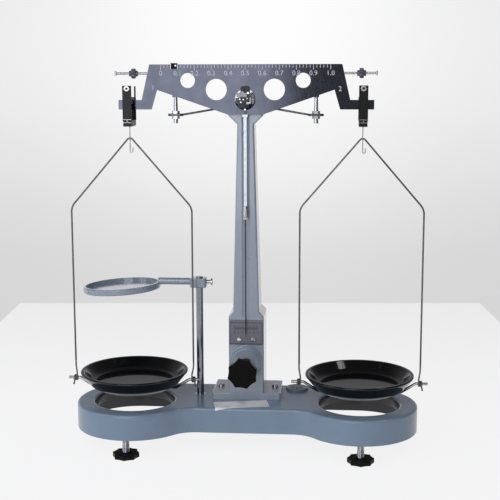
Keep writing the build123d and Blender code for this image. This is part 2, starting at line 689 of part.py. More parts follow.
def rest_pin_nuts():
    """Lock nuts above and below each eye."""
    top = KNIFE_Z - REST_EYE_DROP + REST_EYE_THICK / 2
    bottom = top - REST_EYE_THICK
    for side in SIDES.values():
        for z0 in (top, bottom - REST_NUT_THICK):
            nut = extrude(Pos(side * REST_X, REST_Y, z0) * RegularPolygon(REST_NUT_R, 6),
                          REST_NUT_THICK)
            yield nut - bar_z(side * REST_X, REST_Y, z0 - 1, z0 + REST_NUT_THICK + 1,
                              REST_PIN_FOOT_R)


# ---------------------------------------------------------------- level, socket, label
def level_housing():
    """Ring of the round level."""
    ring = bar_z(LEVEL_X, LEVEL_Y, BASE_TOP, BASE_TOP + LEVEL_HIGH, LEVEL_R)
    ring = fillet(ring.edges().sort_by(Axis.Z)[-1], 0.8)
    ring -= bar_z(LEVEL_X, LEVEL_Y, BASE_TOP + 0.8, BASE_TOP + LEVEL_HIGH + 1, LEVEL_GLASS_R)
    for x in (LEVEL_X - LEVEL_SCREW_X, LEVEL_X + LEVEL_SCREW_X):
        ring -= bar_z(x, LEVEL_Y, BASE_TOP - 1, BASE_TOP + LEVEL_HIGH + 1, SMALL_SCREW_R)
        ring -= bar_z(x, LEVEL_Y, BASE_TOP + LEVEL_SEAT, BASE_TOP + LEVEL_HIGH + 1, 2.6)
    return ring


LEVEL_SEAT = 1.2


def level_glass():
    """Domed glass of the round level."""
    glass = bar_z(LEVEL_X, LEVEL_Y, BASE_TOP + 0.8, BASE_TOP + LEVEL_HIGH + 0.5, LEVEL_GLASS_R)
    return fillet(glass.edges().sort_by(Axis.Z)[-1], 0.45)


def stand_socket():
    """Bush that takes the post of the beaker stand."""
    socket = bar_z(POST_X, POST_Y, FOOT_HEIGHT + BASE_WALL, BASE_TOP, POST_R + SOCKET_WALL)
    return socket - bar_z(POST_X, POST_Y, SOCKET_FLOOR, BASE_TOP + 1, POST_R + RUN_FIT)


SOCKET_FLOOR = FOOT_HEIGHT + BASE_WALL + 2


def base_label():
    """Blank label on the waist."""
    return Pos(LABEL_X, LABEL_Y, BASE_TOP + LABEL_THICK / 2) * Rot(0, 0, LABEL_TURN) * Box(
        LABEL_LENGTH, LABEL_WIDE, LABEL_THICK)


# ---------------------------------------------------------------- arrest knob, cam and lift rod
def arrest_knob():
    """Scalloped knob with the hub that carries it on its shaft."""
    back = ARREST_KNOB_THICK - ARREST_KNOB_FRONT
    knob = facing_front(scalloped_disc(ARREST_KNOB_R, ARREST_KNOB_THICK, KNOB_LOBES, KNOB_SCALLOP,
                                       1.4, KNOB_TURN), 0, back, SHAFT_Z)
    knob += bar_y(0, back - 1, HUB_BACK, SHAFT_Z, KNOB_HUB_R)
    return knob - bar_y(0, SHAFT_FRONT, HUB_BACK + 1, SHAFT_Z, SHAFT_R)


HUB_BACK = PILLAR_FRONT - ARREST_BOSS_OUT - PART_GAP
SHAFT_FRONT = 4.0 - ARREST_KNOB_FRONT
CAM_FRONT = ROD_Y - CAM_THICK / 2
COLLAR_THICK = 1.5


def cam_shaft():
    """Shaft with a collar behind its bush and an eccentric under the foot of the lift rod."""
    shaft = bar_y(0, SHAFT_FRONT, CAM_FRONT + CAM_THICK + 4, SHAFT_Z, SHAFT_R)
    collar = CHAMBER_FRONT + PART_GAP
    shaft += bar_y(0, collar, collar + COLLAR_THICK, SHAFT_Z, SHAFT_BORE_R)
    return shaft + bar_y(-CAM_OFFSET, CAM_FRONT, CAM_FRONT + CAM_THICK,
                         SHAFT_Z - CAM_CENTRE_DROP, CAM_R)


def lift_rod():
    """Rod from the cam to the bearing head."""
    rod = bar_z(0, ROD_Y, ROD_FOOT_Z, ROD_FOOT_Z + ROD_FOOT_THICK, ROD_FOOT_R)
    return rod + bar_z(0, ROD_Y, ROD_FOOT_Z, SADDLE_Z, ROD_R)


SADDLE_Z = HEAD_TOP + 1.5
SADDLE_FRONT = PILLAR_FRONT + 2
SADDLE_BACK = ROD_Y + ROD_R + 3
GUARD_FOOT_Z = SADDLE_Z + 2


def bearing_head():
    """Saddle on the rod, with a nose that reaches through the window of the beam."""
    head = block(-SADDLE_HALF, SADDLE_HALF, SADDLE_FRONT, SADDLE_BACK, SADDLE_Z, NOSE_TOP)
    head += block(-NOSE_HALF, NOSE_HALF, -NOSE_FRONT, SADDLE_FRONT + 1, NOSE_TOP - NOSE_THICK,
                  NOSE_TOP)
    return head - bar_z(-LEFT_GUARD_X, GUARD_Y, GUARD_FOOT_Z, NOSE_TOP + 1, LEFT_GUARD_R) - bar_z(
        RIGHT_GUARD_X, GUARD_Y, GUARD_FOOT_Z, NOSE_TOP + 1, RIGHT_GUARD_R)


def centre_bearings():
    """Hard plates under the two ends of the centre knife."""
    gap = PLATE_HALF + BEARING_NEAR
    for y0, y1 in ((-NOSE_FRONT, -gap), (gap, CENTRE_KNIFE_REACH)):
        yield block(-NOSE_HALF + 0.8, NOSE_HALF - 0.8, y0, y1, NOSE_TOP, BEARING_TOP)


def bearing_guards():
    """Posts on the saddle, one on each side of the knife."""
    yield bar_z(-LEFT_GUARD_X, GUARD_Y, GUARD_FOOT_Z, KNIFE_Z + LEFT_GUARD_RISE, LEFT_GUARD_R)
    post = bar_z(RIGHT_GUARD_X, GUARD_Y, GUARD_FOOT_Z, KNIFE_Z + RIGHT_GUARD_RISE, RIGHT_GUARD_R)
    yield fillet(post.edges().sort_by(Axis.Z)[-1], RIGHT_GUARD_R * 0.6)


def bearing_end_plate():
    """Plate on the front of the nose that keeps the knife in place."""
    plate = block(-END_PLATE_LEFT, END_PLATE_RIGHT, -NOSE_FRONT - END_PLATE_THICK, -NOSE_FRONT,
                  NOSE_TOP - NOSE_THICK, KNIFE_Z + END_PLATE_RISE)
    for x, z in bearing_rivet_places():
        plate -= bar_y(x, -NOSE_FRONT - END_PLATE_THICK - 1, -NOSE_FRONT + 1, z, RIVET_R)
    return plate


RIVET_R = 0.6


def bearing_rivet_places():
    """Three rivets of the end plate."""
    middle = (END_PLATE_RIGHT - END_PLATE_LEFT) / 2
    return [(middle - 2.5, KNIFE_Z + 4.5), (middle + 1.5, KNIFE_Z + 4.2),
            (middle - 1.4, KNIFE_Z + 1.3)]


def bearing_rivets():
    """Rivets with round heads."""
    front = -NOSE_FRONT - END_PLATE_THICK
    for x, z in bearing_rivet_places():
        head = bar_y(x, front - 0.8, front, z, 1.1)
        yield fillet(head.edges().sort_by(Axis.Y)[0], 0.5) + bar_y(x, front, -NOSE_FRONT, z, RIVET_R)


# ---------------------------------------------------------------- beam
def beam_plate():
    """Plate of the beam with its holes, the window and the stops of the rest pins."""
    right = [(BEAM_TOP_HALF, KNIFE_Z + BEAM_RISE),
             (ARM - TAB_OUTER_NECK, KNIFE_Z + TAB_RISE),
             (ARM + TAB_REACH, KNIFE_Z + TAB_RISE),
             (ARM + TAB_REACH, KNIFE_Z - TAB_DROP),
             (ARM - TAB_INNER_NECK, KNIFE_Z - TAB_DROP),
             (NOTCH_X, KNIFE_Z + NOTCH_RISE),
             (BEAM_FLAT_HALF, KNIFE_Z - BEAM_DROP)]
    left = [(-x, z) for x, z in reversed(right)]
    plate = front_plate(right + left, -PLATE_HALF, PLATE_HALF)
    cut = PLATE_HALF + 1
    plate -= bar_y(0, -cut, cut, KNIFE_Z + WINDOW_RISE, WINDOW_R)
    for side in SIDES.values():
        plate -= bar_y(side * SMALL_HOLE_X, -cut, cut, KNIFE_Z + SMALL_HOLE_RISE, SMALL_HOLE_R)
        plate -= bar_y(side * LARGE_HOLE_X, -cut, cut, KNIFE_Z + LARGE_HOLE_RISE, LARGE_HOLE_R)
        plate += rest_stop(side)
        plate -= end_knife(side)
        tang0, tang1 = adjusting_tang(side)
        plate -= bar_x(tang0, tang1, 0, KNIFE_Z + ADJUST_RISE, ADJUST_TANG_R)
    for x, z in pointer_screw_places()[:1]:
        plate -= bar_y(x, -cut, POINTER_SCREW_TIP, z, POINTER_SCREW_R)
    return plate - bar_y(0, CHEEK_SCREW_TIP, cut, CHEEK_SCREW_Z, KNIFE_SCREW_R)


KNIFE_SCREW_R = 0.8
KNIFE_SCREW_GRIP = 2.7
CHEEK_SCREW_TIP = PLATE_HALF + CHEEK_THICK - KNIFE_SCREW_GRIP
CHEEK_TOP = KNIFE_Z + WINDOW_RISE + WINDOW_R + CHEEK_OVERLAP
CHEEK_SCREW_Z = CHEEK_TOP - CHEEK_OVERLAP / 2
HOLDER_Z = KNIFE_Z + KNIFE_DEEP
HOLDER_TOP = HOLDER_Z + HOLDER_THICK
HOLDER_FRONT = PLATE_HALF + CHEEK_THICK
HOLDER_BAR_X = HOLDER_HALF - HOLDER_BAR_HALF
CLAMP_BAR_TOP = KNIFE_Z + CLAMP_BAR_LOW + CLAMP_BAR_HIGH


def knife_holder():
    """Block inside the window, held by a cheek on each face of the plate, with a front bar."""
    holder = block(-HOLDER_HALF, HOLDER_HALF, -HOLDER_FRONT, CENTRE_KNIFE_REACH, HOLDER_Z,
                   HOLDER_TOP)
    for side in SIDES.values():
        y0, y1 = sorted((side * PLATE_HALF, side * (PLATE_HALF + CHEEK_THICK)))
        cheek = block(-CHEEK_HALF, CHEEK_HALF, y0, y1, HOLDER_Z, CHEEK_TOP)
        corners = cheek.edges().filter_by(Axis.Y).group_by(Axis.Z)[-1]
        holder += fillet(corners, CHEEK_HALF * 0.55)
    holder += block(HOLDER_BAR_X - HOLDER_BAR_HALF, HOLDER_HALF, -CENTRE_KNIFE_REACH,
                    -HOLDER_FRONT, KNIFE_Z + 1, CLAMP_BAR_TOP + 2.4)
    holder -= centre_knife()
    holder -= bar_y(HOLDER_BAR_X, -CENTRE_KNIFE_REACH - 1, 0, CLAMP_BAR_TOP, KNIFE_SCREW_R)
    return holder - bar_y(0, CHEEK_SCREW_TIP, PLATE_HALF + CHEEK_THICK + 1, CHEEK_SCREW_Z,
                          KNIFE_SCREW_R)


def knife_clamp():
    """Bright bar that clamps the front of the knife against the holder."""
    clamp = front_plate([(-CLAMP_BAR_LEFT, KNIFE_Z + CLAMP_BAR_LOW),
                         (HOLDER_BAR_X - HOLDER_BAR_HALF, KNIFE_Z + CLAMP_BAR_LOW),
                         (HOLDER_BAR_X - HOLDER_BAR_HALF, CLAMP_BAR_TOP),
                         (-CLAMP_CREST_RIGHT + CLAMP_SLOPE, CLAMP_BAR_TOP),
                         (-CLAMP_CREST_RIGHT, CLAMP_BAR_TOP + CLAMP_CREST),
                         (-CLAMP_CREST_LEFT, CLAMP_BAR_TOP + CLAMP_CREST),
                         (-CLAMP_CREST_LEFT - CLAMP_LONG_SLOPE, CLAMP_BAR_TOP),
                         (-CLAMP_BAR_LEFT, CLAMP_BAR_TOP)],
                        -CENTRE_KNIFE_REACH, -HOLDER_FRONT)
    return clamp - centre_knife()


def knife_screws():
    """Screw in the front bar, and screw in the rear cheek."""
    screw = slotted_screw(KNIFE_SCREW_R, 1.4, 0.9, KNIFE_SCREW_GRIP)
    yield facing_front(screw, HOLDER_BAR_X, -CENTRE_KNIFE_REACH, CLAMP_BAR_TOP)
    yield Pos(0, PLATE_HALF + CHEEK_THICK, CHEEK_SCREW_Z) * Rot(-90, 0, 0) * screw


def centre_knife():
    """Prism with its edge down."""
    return front_plate([(0, KNIFE_Z), (KNIFE_HALF, HOLDER_Z), (-KNIFE_HALF, HOLDER_Z)],
                       -CENTRE_KNIFE_REACH, CENTRE_KNIFE_REACH)


def end_knife(side):
    """Prism with its edge up, through the tab."""
    x = side * ARM
    points = [(x, END_Z), (x - END_KNIFE_HALF, END_Z - END_KNIFE_HALF),
              (x - END_KNIFE_HALF, END_Z - END_KNIFE_DEEP),
              (x + END_KNIFE_HALF, END_Z - END_KNIFE_DEEP),
              (x + END_KNIFE_HALF, END_Z - END_KNIFE_HALF)]
    return front_plate(points, -KNIFE_REACH, KNIFE_REACH)


def beam_end_x(z):
    """Outer edge of the beam at a height."""
    share = (KNIFE_Z + BEAM_RISE - z) / (BEAM_RISE - TAB_RISE)
    return BEAM_TOP_HALF + share * (ARM - TAB_OUTER_NECK - BEAM_TOP_HALF)


def free_rod_x(share):
    """Place along a rod, as a share of its free length from the beam to its head."""
    edge = beam_end_x(KNIFE_Z + ADJUST_RISE)
    return edge + share * (ADJUST_ROD_END - ADJUST_HEAD_THICK - edge)


def adjusting_tang(side):
    """Start and end of the rod's tang inside the edge of the beam."""
    edge = beam_end_x(KNIFE_Z + ADJUST_RISE)
    return sorted((side * (edge - ADJUST_TANG), side * (edge + 2)))


def adjusting_rods():
    """Threaded rods at the beam's ends, with their heads."""
    z = KNIFE_Z + ADJUST_RISE
    edge = beam_end_x(z)
    for side in SIDES.values():
        rod = bar_x(side * (edge - ADJUST_TANG), side * (edge + 1.5), 0, z, ADJUST_TANG_R)
        rod += bar_x(side * (edge + 1), side * ADJUST_ROD_END, 0, z, ADJUST_ROD_R)
        yield rod + bar_x(side * (ADJUST_ROD_END - ADJUST_HEAD_THICK), side * ADJUST_ROD_END, 0, z,
                          ADJUST_HEAD_R)


def adjusting_nut(x):
    """Scalloped nut with a hub on each side."""
    z = KNIFE_Z + ADJUST_RISE
    wheel = scalloped_disc(NUT_R, NUT_THICK, 10, 0.45, 0.6)
    nut = Pos(x - NUT_THICK / 2, 0, z) * Rot(0, 90, 0) * wheel
    half = NUT_THICK / 2 + NUT_HUB_OUT
    nut += bar_x(x - half, x + half, 0, z, NUT_HUB_R)
    return nut - bar_x(x - half - 1, x + half + 1, 0, z, ADJUST_ROD_R + RUN_FIT)


def rider():
    """Clip that straddles the top edge of the beam."""
    top = KNIFE_Z + BEAM_RISE
    inner = PLATE_HALF + 0.1
    outer = inner + RIDER_WALL
    clip = block(RIDER_X - RIDER_WIDTH / 2, RIDER_X + RIDER_WIDTH / 2, -outer, outer,
                 top - RIDER_DROP, top + 0.1 + RIDER_WALL)
    return clip - block(RIDER_X - RIDER_WIDTH, RIDER_X + RIDER_WIDTH, -inner, inner,
                        top - RIDER_DROP - 1, top + 0.1)


# ---------------------------------------------------------------- pointer
def pointer_bar():
    """Flat bar with a clamp at the beam's lower edge and a stem in front of the beam."""
    back = -PLATE_HALF
    half = POINTER_WIDTH / 2
    bar = block(-half, half, back - POINTER_THICK, back, POINTER_BAR_END, POINTER_CLAMP_TOP)
    bar += block(-POINTER_STEM_HALF, POINTER_STEM_HALF, back - POINTER_THICK, back,
                 POINTER_CLAMP_TOP - 1, POINTER_BAR_TOP)
    bar += block(-POINTER_CLAMP_HALF, POINTER_CLAMP_HALF, back - POINTER_CLAMP_THICK, back,
                 POINTER_CLAMP_TOP - POINTER_CLAMP_HIGH, POINTER_CLAMP_TOP)
    (x, z), *low = pointer_screw_places()
    front = back - POINTER_CLAMP_THICK
    bar -= bar_y(x, front - 1, PLATE_HALF + 1, z, POINTER_SCREW_R)
    for x, z in low:
        bar -= bar_y(x, front - 1, front + POINTER_SCREW_GRIP, z, POINTER_SCREW_R)
    return bar


POINTER_SCREW_R = 0.5
POINTER_SCREW_GRIP = POINTER_THICK + 0.6
POINTER_SCREW_TIP = -PLATE_HALF - POINTER_THICK + POINTER_SCREW_GRIP


def pointer_screw_places():
    """One screw near the top of the stem, two in the clamp."""
    clamp_z = POINTER_CLAMP_TOP - POINTER_CLAMP_HIGH / 2
    side = POINTER_CLAMP_HALF - 1.2
    return [(0, POINTER_BAR_TOP - 1.3), (-side, clamp_z), (side, clamp_z)]


def pointer_screws():
    """Small bright screws of the pointer."""
    screw = slotted_screw(POINTER_SCREW_R, 1.15, 0.7, POINTER_SCREW_GRIP)
    (x, z), *low = pointer_screw_places()
    yield facing_front(screw, x, -PLATE_HALF - POINTER_THICK, z)
    for x, z in low:
        yield facing_front(screw, x, -PLATE_HALF - POINTER_CLAMP_THICK, z)


def pointer_needle():
    """Thin needle below the bar."""
    needle = bar_z(0, POINTER_Y, NEEDLE_TIP_Z + NEEDLE_TAPER, POINTER_BAR_END, NEEDLE_R)
    return needle + Pos(0, POINTER_Y, NEEDLE_TIP_Z + NEEDLE_TAPER / 2) * Cone(
        NEEDLE_TIP_R, NEEDLE_R, NEEDLE_TAPER)


def sensitivity_weight():
    """Small weight that slides on the bar."""
    low = POINTER_BAR_END - WEIGHT_OVER
    weight = bar_z(0, POINTER_Y, low, low + WEIGHT_LENGTH, WEIGHT_R)
    weight = fillet(weight.edges().filter_by(GeomType.CIRCLE), 0.5)
    half = POINTER_WIDTH / 2 + RUN_FIT
    depth = POINTER_THICK / 2 + RUN_FIT
    return weight - block(-half, half, POINTER_Y - depth, POINTER_Y + depth, low - 1,
                          low + WEIGHT_LENGTH + 1)


# ---------------------------------------------------------------- stirrups
# Everything that hangs from an end knife is drawn at X = 0 and placed under its knife at the end.
def stirrup():
    """Bracket of two side plates joined by a block, with ledges over the bearings."""
    low = END_Z - STIRRUP_DROP
    outer = STIRRUP_INNER + STIRRUP_PLATE
    frame = block(-STIRRUP_HALF, STIRRUP_HALF, -outer, -STIRRUP_INNER, low,
                  END_Z + STIRRUP_RISE)
    frame += block(-STIRRUP_HALF, STIRRUP_HALF, STIRRUP_INNER, outer, low,
                   END_Z + REAR_SHOULDER)
    frame = fillet(frame.edges().filter_by(Axis.Y), 0.8)
    frame += block(REAR_FINGER_X - REAR_FINGER_HALF, REAR_FINGER_X + REAR_FINGER_HALF,
                   STIRRUP_INNER, outer, END_Z, END_Z + STIRRUP_RISE - 1)
    frame += block(-STIRRUP_BLOCK_HALF, STIRRUP_BLOCK_HALF, -outer + 0.4, outer - 0.4,
                   low - STIRRUP_BLOCK, low + 1)
    ledge_z = END_Z + KNIFE_GAP + BEARING_THICK
    for y0, y1 in stirrup_bearing_spans():
        frame += block(-LEDGE_HALF, LEDGE_HALF, y0, y1, ledge_z, ledge_z + LEDGE_THICK)
    slot_x = HOOK_WIRE_R + 0.6
    slot_y = PIN_R + SWING_GAP + 2 * HOOK_WIRE_R + 0.7
    frame -= block(-slot_x, slot_x, -slot_y, slot_y, low - STIRRUP_BLOCK - 1, low + 2)
    frame -= bar_x(-STIRRUP_BLOCK_HALF - 1, STIRRUP_BLOCK_HALF + 1, 0, END_Z - PIN_DROP, PIN_R)
    return frame - bar_y(0, -outer - 1, 0, END_Z + STIRRUP_BOLT_RISE, STIRRUP_BOLT_R)


def stirrup_bearing_spans():
    """Front and rear bearing, along Y."""
    near = PLATE_HALF + BEARING_NEAR
    return [(-STIRRUP_INNER, -near), (near, STIRRUP_INNER)]


def stirrup_bearings():
    """Hard plates that rest on the two ends of the end knife."""
    z0 = END_Z + KNIFE_GAP
    for y0, y1 in stirrup_bearing_spans():
        yield block(-LEDGE_HALF, LEDGE_HALF, y0, y1, z0, z0 + BEARING_THICK)


def stirrup_pins():
    """Screw with its nut in the front plate, and the pin of the hook."""
    z = END_Z + STIRRUP_BOLT_RISE
    grip = STIRRUP_PLATE + STIRRUP_NUT_THICK
    screw = facing_front(slotted_screw(STIRRUP_BOLT_R, STIRRUP_BOLT_HEAD_R, STIRRUP_BOLT_HEAD,
                                       grip), 0, -STIRRUP_INNER - STIRRUP_PLATE, z)
    yield screw + bar_y(0, -STIRRUP_INNER, STIRRUP_NUT_THICK - STIRRUP_INNER, z,
                        STIRRUP_BOLT_R + 1.2)
    yield bar_x(-STIRRUP_BLOCK_HALF, STIRRUP_BLOCK_HALF, 0, END_Z - PIN_DROP, PIN_R)


# ---------------------------------------------------------------- hooks, bows, carriers, pans
def hook():
    """Wire with an eye at its pin, an eye for the bow and an open hook below."""
    pin_z = END_Z - PIN_DROP
    pin_eye_r = PIN_R + SWING_GAP + HOOK_EYE_R
    bow_eye_r = BOW_WIRE_R + SWING_GAP + HOOK_EYE_R
    bend_z = BOW_Z - SPECIMEN_HOOK_DROP + SPECIMEN_HOOK_R
    wire = ring_x(0, 0, pin_z, pin_eye_r, HOOK_EYE_R) + ring_x(0, 0, BOW_Z, bow_eye_r, HOOK_EYE_R)
    wire += bar_z(0, 0, BOW_Z + bow_eye_r, pin_z - pin_eye_r, HOOK_WIRE_R)
    bend = Plane(origin=(SPECIMEN_HOOK_R, 0, bend_z), x_dir=(1, 0, 0), z_dir=(0, -1, 0)) * (
        CenterArc((0, 0), SPECIMEN_HOOK_R, 180, 180))
    path = Wire([Edge.make_line((0, 0, BOW_Z - bow_eye_r), (0, 0, bend_z)), bend.edge(),
                 Edge.make_line((2 * SPECIMEN_HOOK_R, 0, bend_z),
                                (2 * SPECIMEN_HOOK_R, 0, bend_z + 4))])
    return wire + sweep(Plane(origin=(0, 0, BOW_Z - bow_eye_r), z_dir=(0, 0, -1)) * Circle(
        HOOK_WIRE_R), path)


def bow():
    """Wire bow with an eye and a short tail at each end."""
    eye_r = CARRIER_R + SWING_GAP + BOW_EYE_WIRE_R
    leg_z = EAR_Z + eye_r
    shoulder_z = BOW_Z - BOW_SHOULDER_DROP
    path = Plane.XZ * FilletPolyline(
        (-BOW_HALF, leg_z), (-BOW_HALF, shoulder_z), (0, bow_apex_corner()),
        (BOW_HALF, shoulder_z), (BOW_HALF, leg_z),
        radius=[BOW_SHOULDER_R, BOW_APEX_R, BOW_SHOULDER_R])
    wire = sweep(Plane(origin=(-BOW_HALF, 0, leg_z), z_dir=(0, 0, 1)) * Circle(BOW_WIRE_R), path)
    coil = ring_x(0, 0, EAR_Z, eye_r, BOW_EYE_WIRE_R)
    for turn in range(1, BOW_EYE_TURNS):
        coil += ring_x(turn * BOW_EYE_PITCH, 0, EAR_Z, eye_r, BOW_EYE_WIRE_R)
    coil = Pos(-(BOW_EYE_TURNS - 1) / 2 * BOW_EYE_PITCH, 0, 0) * coil
    for end in SIDES.values():
        tail = bar_between((0, 0, EAR_Z - eye_r), (end * 1.2, 0, EAR_Z - eye_r - BOW_TAIL),
                           BOW_WIRE_R)
        wire += Pos(end * BOW_HALF, 0, 0) * (coil + tail)
    return wire


def bow_apex_corner():
    """Height of the corner whose rounded top passes through the eye of the hook."""
    rise = BOW_SHOULDER_DROP
    for _ in range(20):
        slope = math.atan2(rise, BOW_HALF)
        rise = BOW_SHOULDER_DROP + BOW_APEX_R * (1 / math.cos(slope) - 1)
    return BOW_Z - BOW_SHOULDER_DROP + rise


def carrier():
    """Ring under the pan with two arms that rise to the ears."""
    ring_z = PAN_Z - PART_GAP - CARRIER_R
    wire = Pos(0, 0, ring_z) * Torus(CARRIER_RING_R, CARRIER_WIRE_R)
    rise_start = PAN_FLOOR_R
    rise_end = BOW_HALF - 5
    for end in SIDES.values():
        start_x = end * CARRIER_RING_R
        path = FilletPolyline((start_x, 0, ring_z), (end * rise_start, 0, ring_z),
                              (end * rise_end, 0, EAR_Z),
                              (end * (BOW_HALF + EAR_REACH), 0, EAR_Z), radius=EAR_BEND_R)
        wire += sweep(Plane(origin=(start_x, 0, ring_z), z_dir=(end, 0, 0)) * Circle(CARRIER_R),
                      path)
    return wire


def pan():
    """Round moulded dish with a broad lip, and a recess inside its foot."""
    slope = math.atan2(PAN_HIGH, PAN_R - PAN_FLOOR_R)
    inner_rim = PAN_R - PAN_WALL / math.sin(slope)
    inner_floor = inner_rim - (PAN_HIGH - PAN_FLOOR) / math.tan(slope)
    rim_z = PAN_Z + PAN_HIGH
    floor_z = PAN_Z + PAN_FLOOR
    outline = make_face(Polyline((0, PAN_Z + PAN_FOOT), (PAN_FOOT_R, PAN_Z + PAN_FOOT),
                                 (PAN_FOOT_R, PAN_Z), (PAN_FLOOR_R, PAN_Z), (PAN_R, rim_z),
                                 (inner_rim, rim_z), (inner_floor, floor_z), (0, floor_z),
                                 close=True))
    lip = [v for v in outline.vertices() if v.Y > rim_z - 0.01]
    outline = fillet(lip, PAN_LIP_R)
    outer = [v for v in outline.vertices() if abs(v.X - PAN_FLOOR_R) < 0.01]
    outline = fillet(outer, PAN_BEND_R)
    inner = [v for v in outline.vertices() if abs(v.X - inner_floor) < 0.01 and v.Y > floor_z - 0.1]
    outline = fillet(inner, PAN_BEND_R - PAN_WALL)
    return revolve(Plane.XZ * outline, Axis.Z)


# ---------------------------------------------------------------- beaker stand
def stand_post():
    """Post of the beaker stand, in its socket."""
    post = bar_z(POST_X, POST_Y, SOCKET_FLOOR + PART_GAP, POST_TOP, POST_R)
    return fillet(post.edges().sort_by(Axis.Z)[-1], 0.8)


def beaker_tray():
    """Dish, arm and clamp block in one casting."""
    clamp_top = CLAMP_LOW + CLAMP_HIGH
    clamp = block(POST_X - CLAMP_LEFT, POST_X + CLAMP_RIGHT, POST_Y - CLAMP_HALF_Y,
                  POST_Y + CLAMP_HALF_Y, CLAMP_LOW, clamp_top)
    clamp = fillet(clamp.edges().filter_by(Axis.Z), CLAMP_CORNER)
    clamp = fillet(clamp.edges().group_by(Axis.Z)[0] + clamp.edges().group_by(Axis.Z)[-1],
                   CLAMP_EDGE_R)
    arm_z = CLAMP_LOW + TRAY_ARM_RISE
    rim_x = POST_X - TRAY_REACH + TRAY_R
    arm = block(rim_x - 2, POST_X - CLAMP_LEFT + 2, POST_Y - TRAY_ARM_WIDE / 2,
                POST_Y + TRAY_ARM_WIDE / 2, arm_z, arm_z + TRAY_ARM_HIGH)
    arm = fillet(arm.edges().filter_by(Axis.X), TRAY_ARM_CORNER)
    dish = Cylinder(TRAY_R, TRAY_RIM, align=(Align.CENTER, Align.CENTER, Align.MIN))
    dish = fillet(dish.edges().filter_by(GeomType.CIRCLE), 1.2)
    dish -= Pos(0, 0, TRAY_FLOOR) * Cylinder(TRAY_R - TRAY_RIM_WALL, TRAY_RIM,
                                             align=(Align.CENTER, Align.CENTER, Align.MIN))
    dish = Pos(POST_X - TRAY_REACH, POST_Y, TRAY_Z) * Rot(-TRAY_NOD, -TRAY_DROOP, 0) * dish
    tray = clamp + arm + dish
    tray -= bar_z(POST_X, POST_Y, CLAMP_LOW - 1, clamp_top + 1, POST_R + RUN_FIT)
    return tray - bar_x(POST_X + POST_R - 1, POST_X + CLAMP_RIGHT + 1, POST_Y, THUMB_Z,
                        THUMB_R + RUN_FIT)


THUMB_Z = CLAMP_LOW + THUMB_RISE


def tray_screw():
    """Thumb screw of the clamp."""
    tip = POST_X + POST_R + PART_GAP
    neck_end = POST_X + CLAMP_RIGHT + THUMB_NECK
    screw = bar_x(tip, neck_end + THUMB_HEAD, POST_Y, THUMB_Z, THUMB_R)
    return screw + bar_x(neck_end, neck_end + THUMB_HEAD, POST_Y, THUMB_Z, THUMB_HEAD_R)


# ---------------------------------------------------------------- all nodes
def main():
    """Write every node."""
    os.makedirs("parts", exist_ok=True)
    save(base_casting(), "base_casting")
    save(group(foot_bushes()), "foot_bushes")
    save(rear_foot(), "rear_foot")
    save(pillar(), "pillar")
    save(group(pillar_screws()), "pillar_screws")
    save(group(rod_guides()), "rod_guides")
    save(shaft_bush(), "shaft_bush")
    save(rear_cover(), "rear_cover")
    save(scale_plate(), "scale_plate")
    save(group(small_screws()), "small_screws")
    save(group(rest_arms()), "rest_arms")
    save(group(rest_pins()), "rest_pins")
    save(group(rest_pin_nuts()), "rest_pin_nuts")
    save(level_housing(), "level_housing")
    save(level_glass(), "level_glass")
    save(stand_socket(), "stand_socket")
    save(base_label(), "base_label")
    save(arrest_knob(), "arrest_knob")
    save(cam_shaft(), "cam_shaft")
    save(lift_rod(), "lift_rod")
    save(bearing_head(), "bearing_head")
    save(group(centre_bearings()), "centre_bearings")
    save(group(bearing_guards()), "bearing_guards")
    save(bearing_end_plate(), "bearing_end_plate")
    save(group(bearing_rivets()), "bearing_rivets")
    save(beam_plate(), "beam_plate")
    save(knife_holder(), "knife_holder")
    save(knife_clamp(), "knife_clamp")
    save(group(knife_screws()), "knife_screws")
    save(centre_knife(), "centre_knife")
    save(group(end_knife(side) for side in SIDES.values()), "end_knives")
    save(group(adjusting_rods()), "adjusting_rods")
    save(adjusting_nut(-free_rod_x(LEFT_NUT_SHARE)), "left_adjusting_nut")
    save(adjusting_nut(free_rod_x(RIGHT_NUT_SHARE)), "right_adjusting_nut")
    save(rider(), "rider")
    save(pointer_bar(), "pointer_bar")
    save(group(pointer_screws()), "pointer_screws")
    save(pointer_needle(), "pointer_needle")
    save(sensitivity_weight(), "sensitivity_weight")
    hanging = {"stirrup": stirrup(), "stirrup_bearings": group(stirrup_bearings()),
               "stirrup_pins": group(stirrup_pins()), "hook": hook(), "bow": bow(),
               "carrier": carrier(), "pan": pan()}
    for name, side in SIDES.items():
        for node, shape in hanging.items():
            save(Pos(side * ARM, 0, 0) * shape, f"{name}_{node}")
        save(foot_knob(side), f"{name}_foot_knob")
        save(foot_screw(side), f"{name}_foot_screw")
    save(stand_post(), "stand_post")
    save(beaker_tray(), "beaker_tray")
    save(tray_screw(), "tray_screw")


main()
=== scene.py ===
"""Dresses an equal-arm prescription balance: finishes, wire and turned pieces, studio, camera.

Sizes are in millimetres and directions are the frame's own: X right along the beam, Y to the
back, Z up. Meshes are written in metres.
"""
from __future__ import annotations

import json
import logging
import math
from dataclasses import dataclass, field
from enum import Enum
from typing import Callable, ClassVar, Sequence

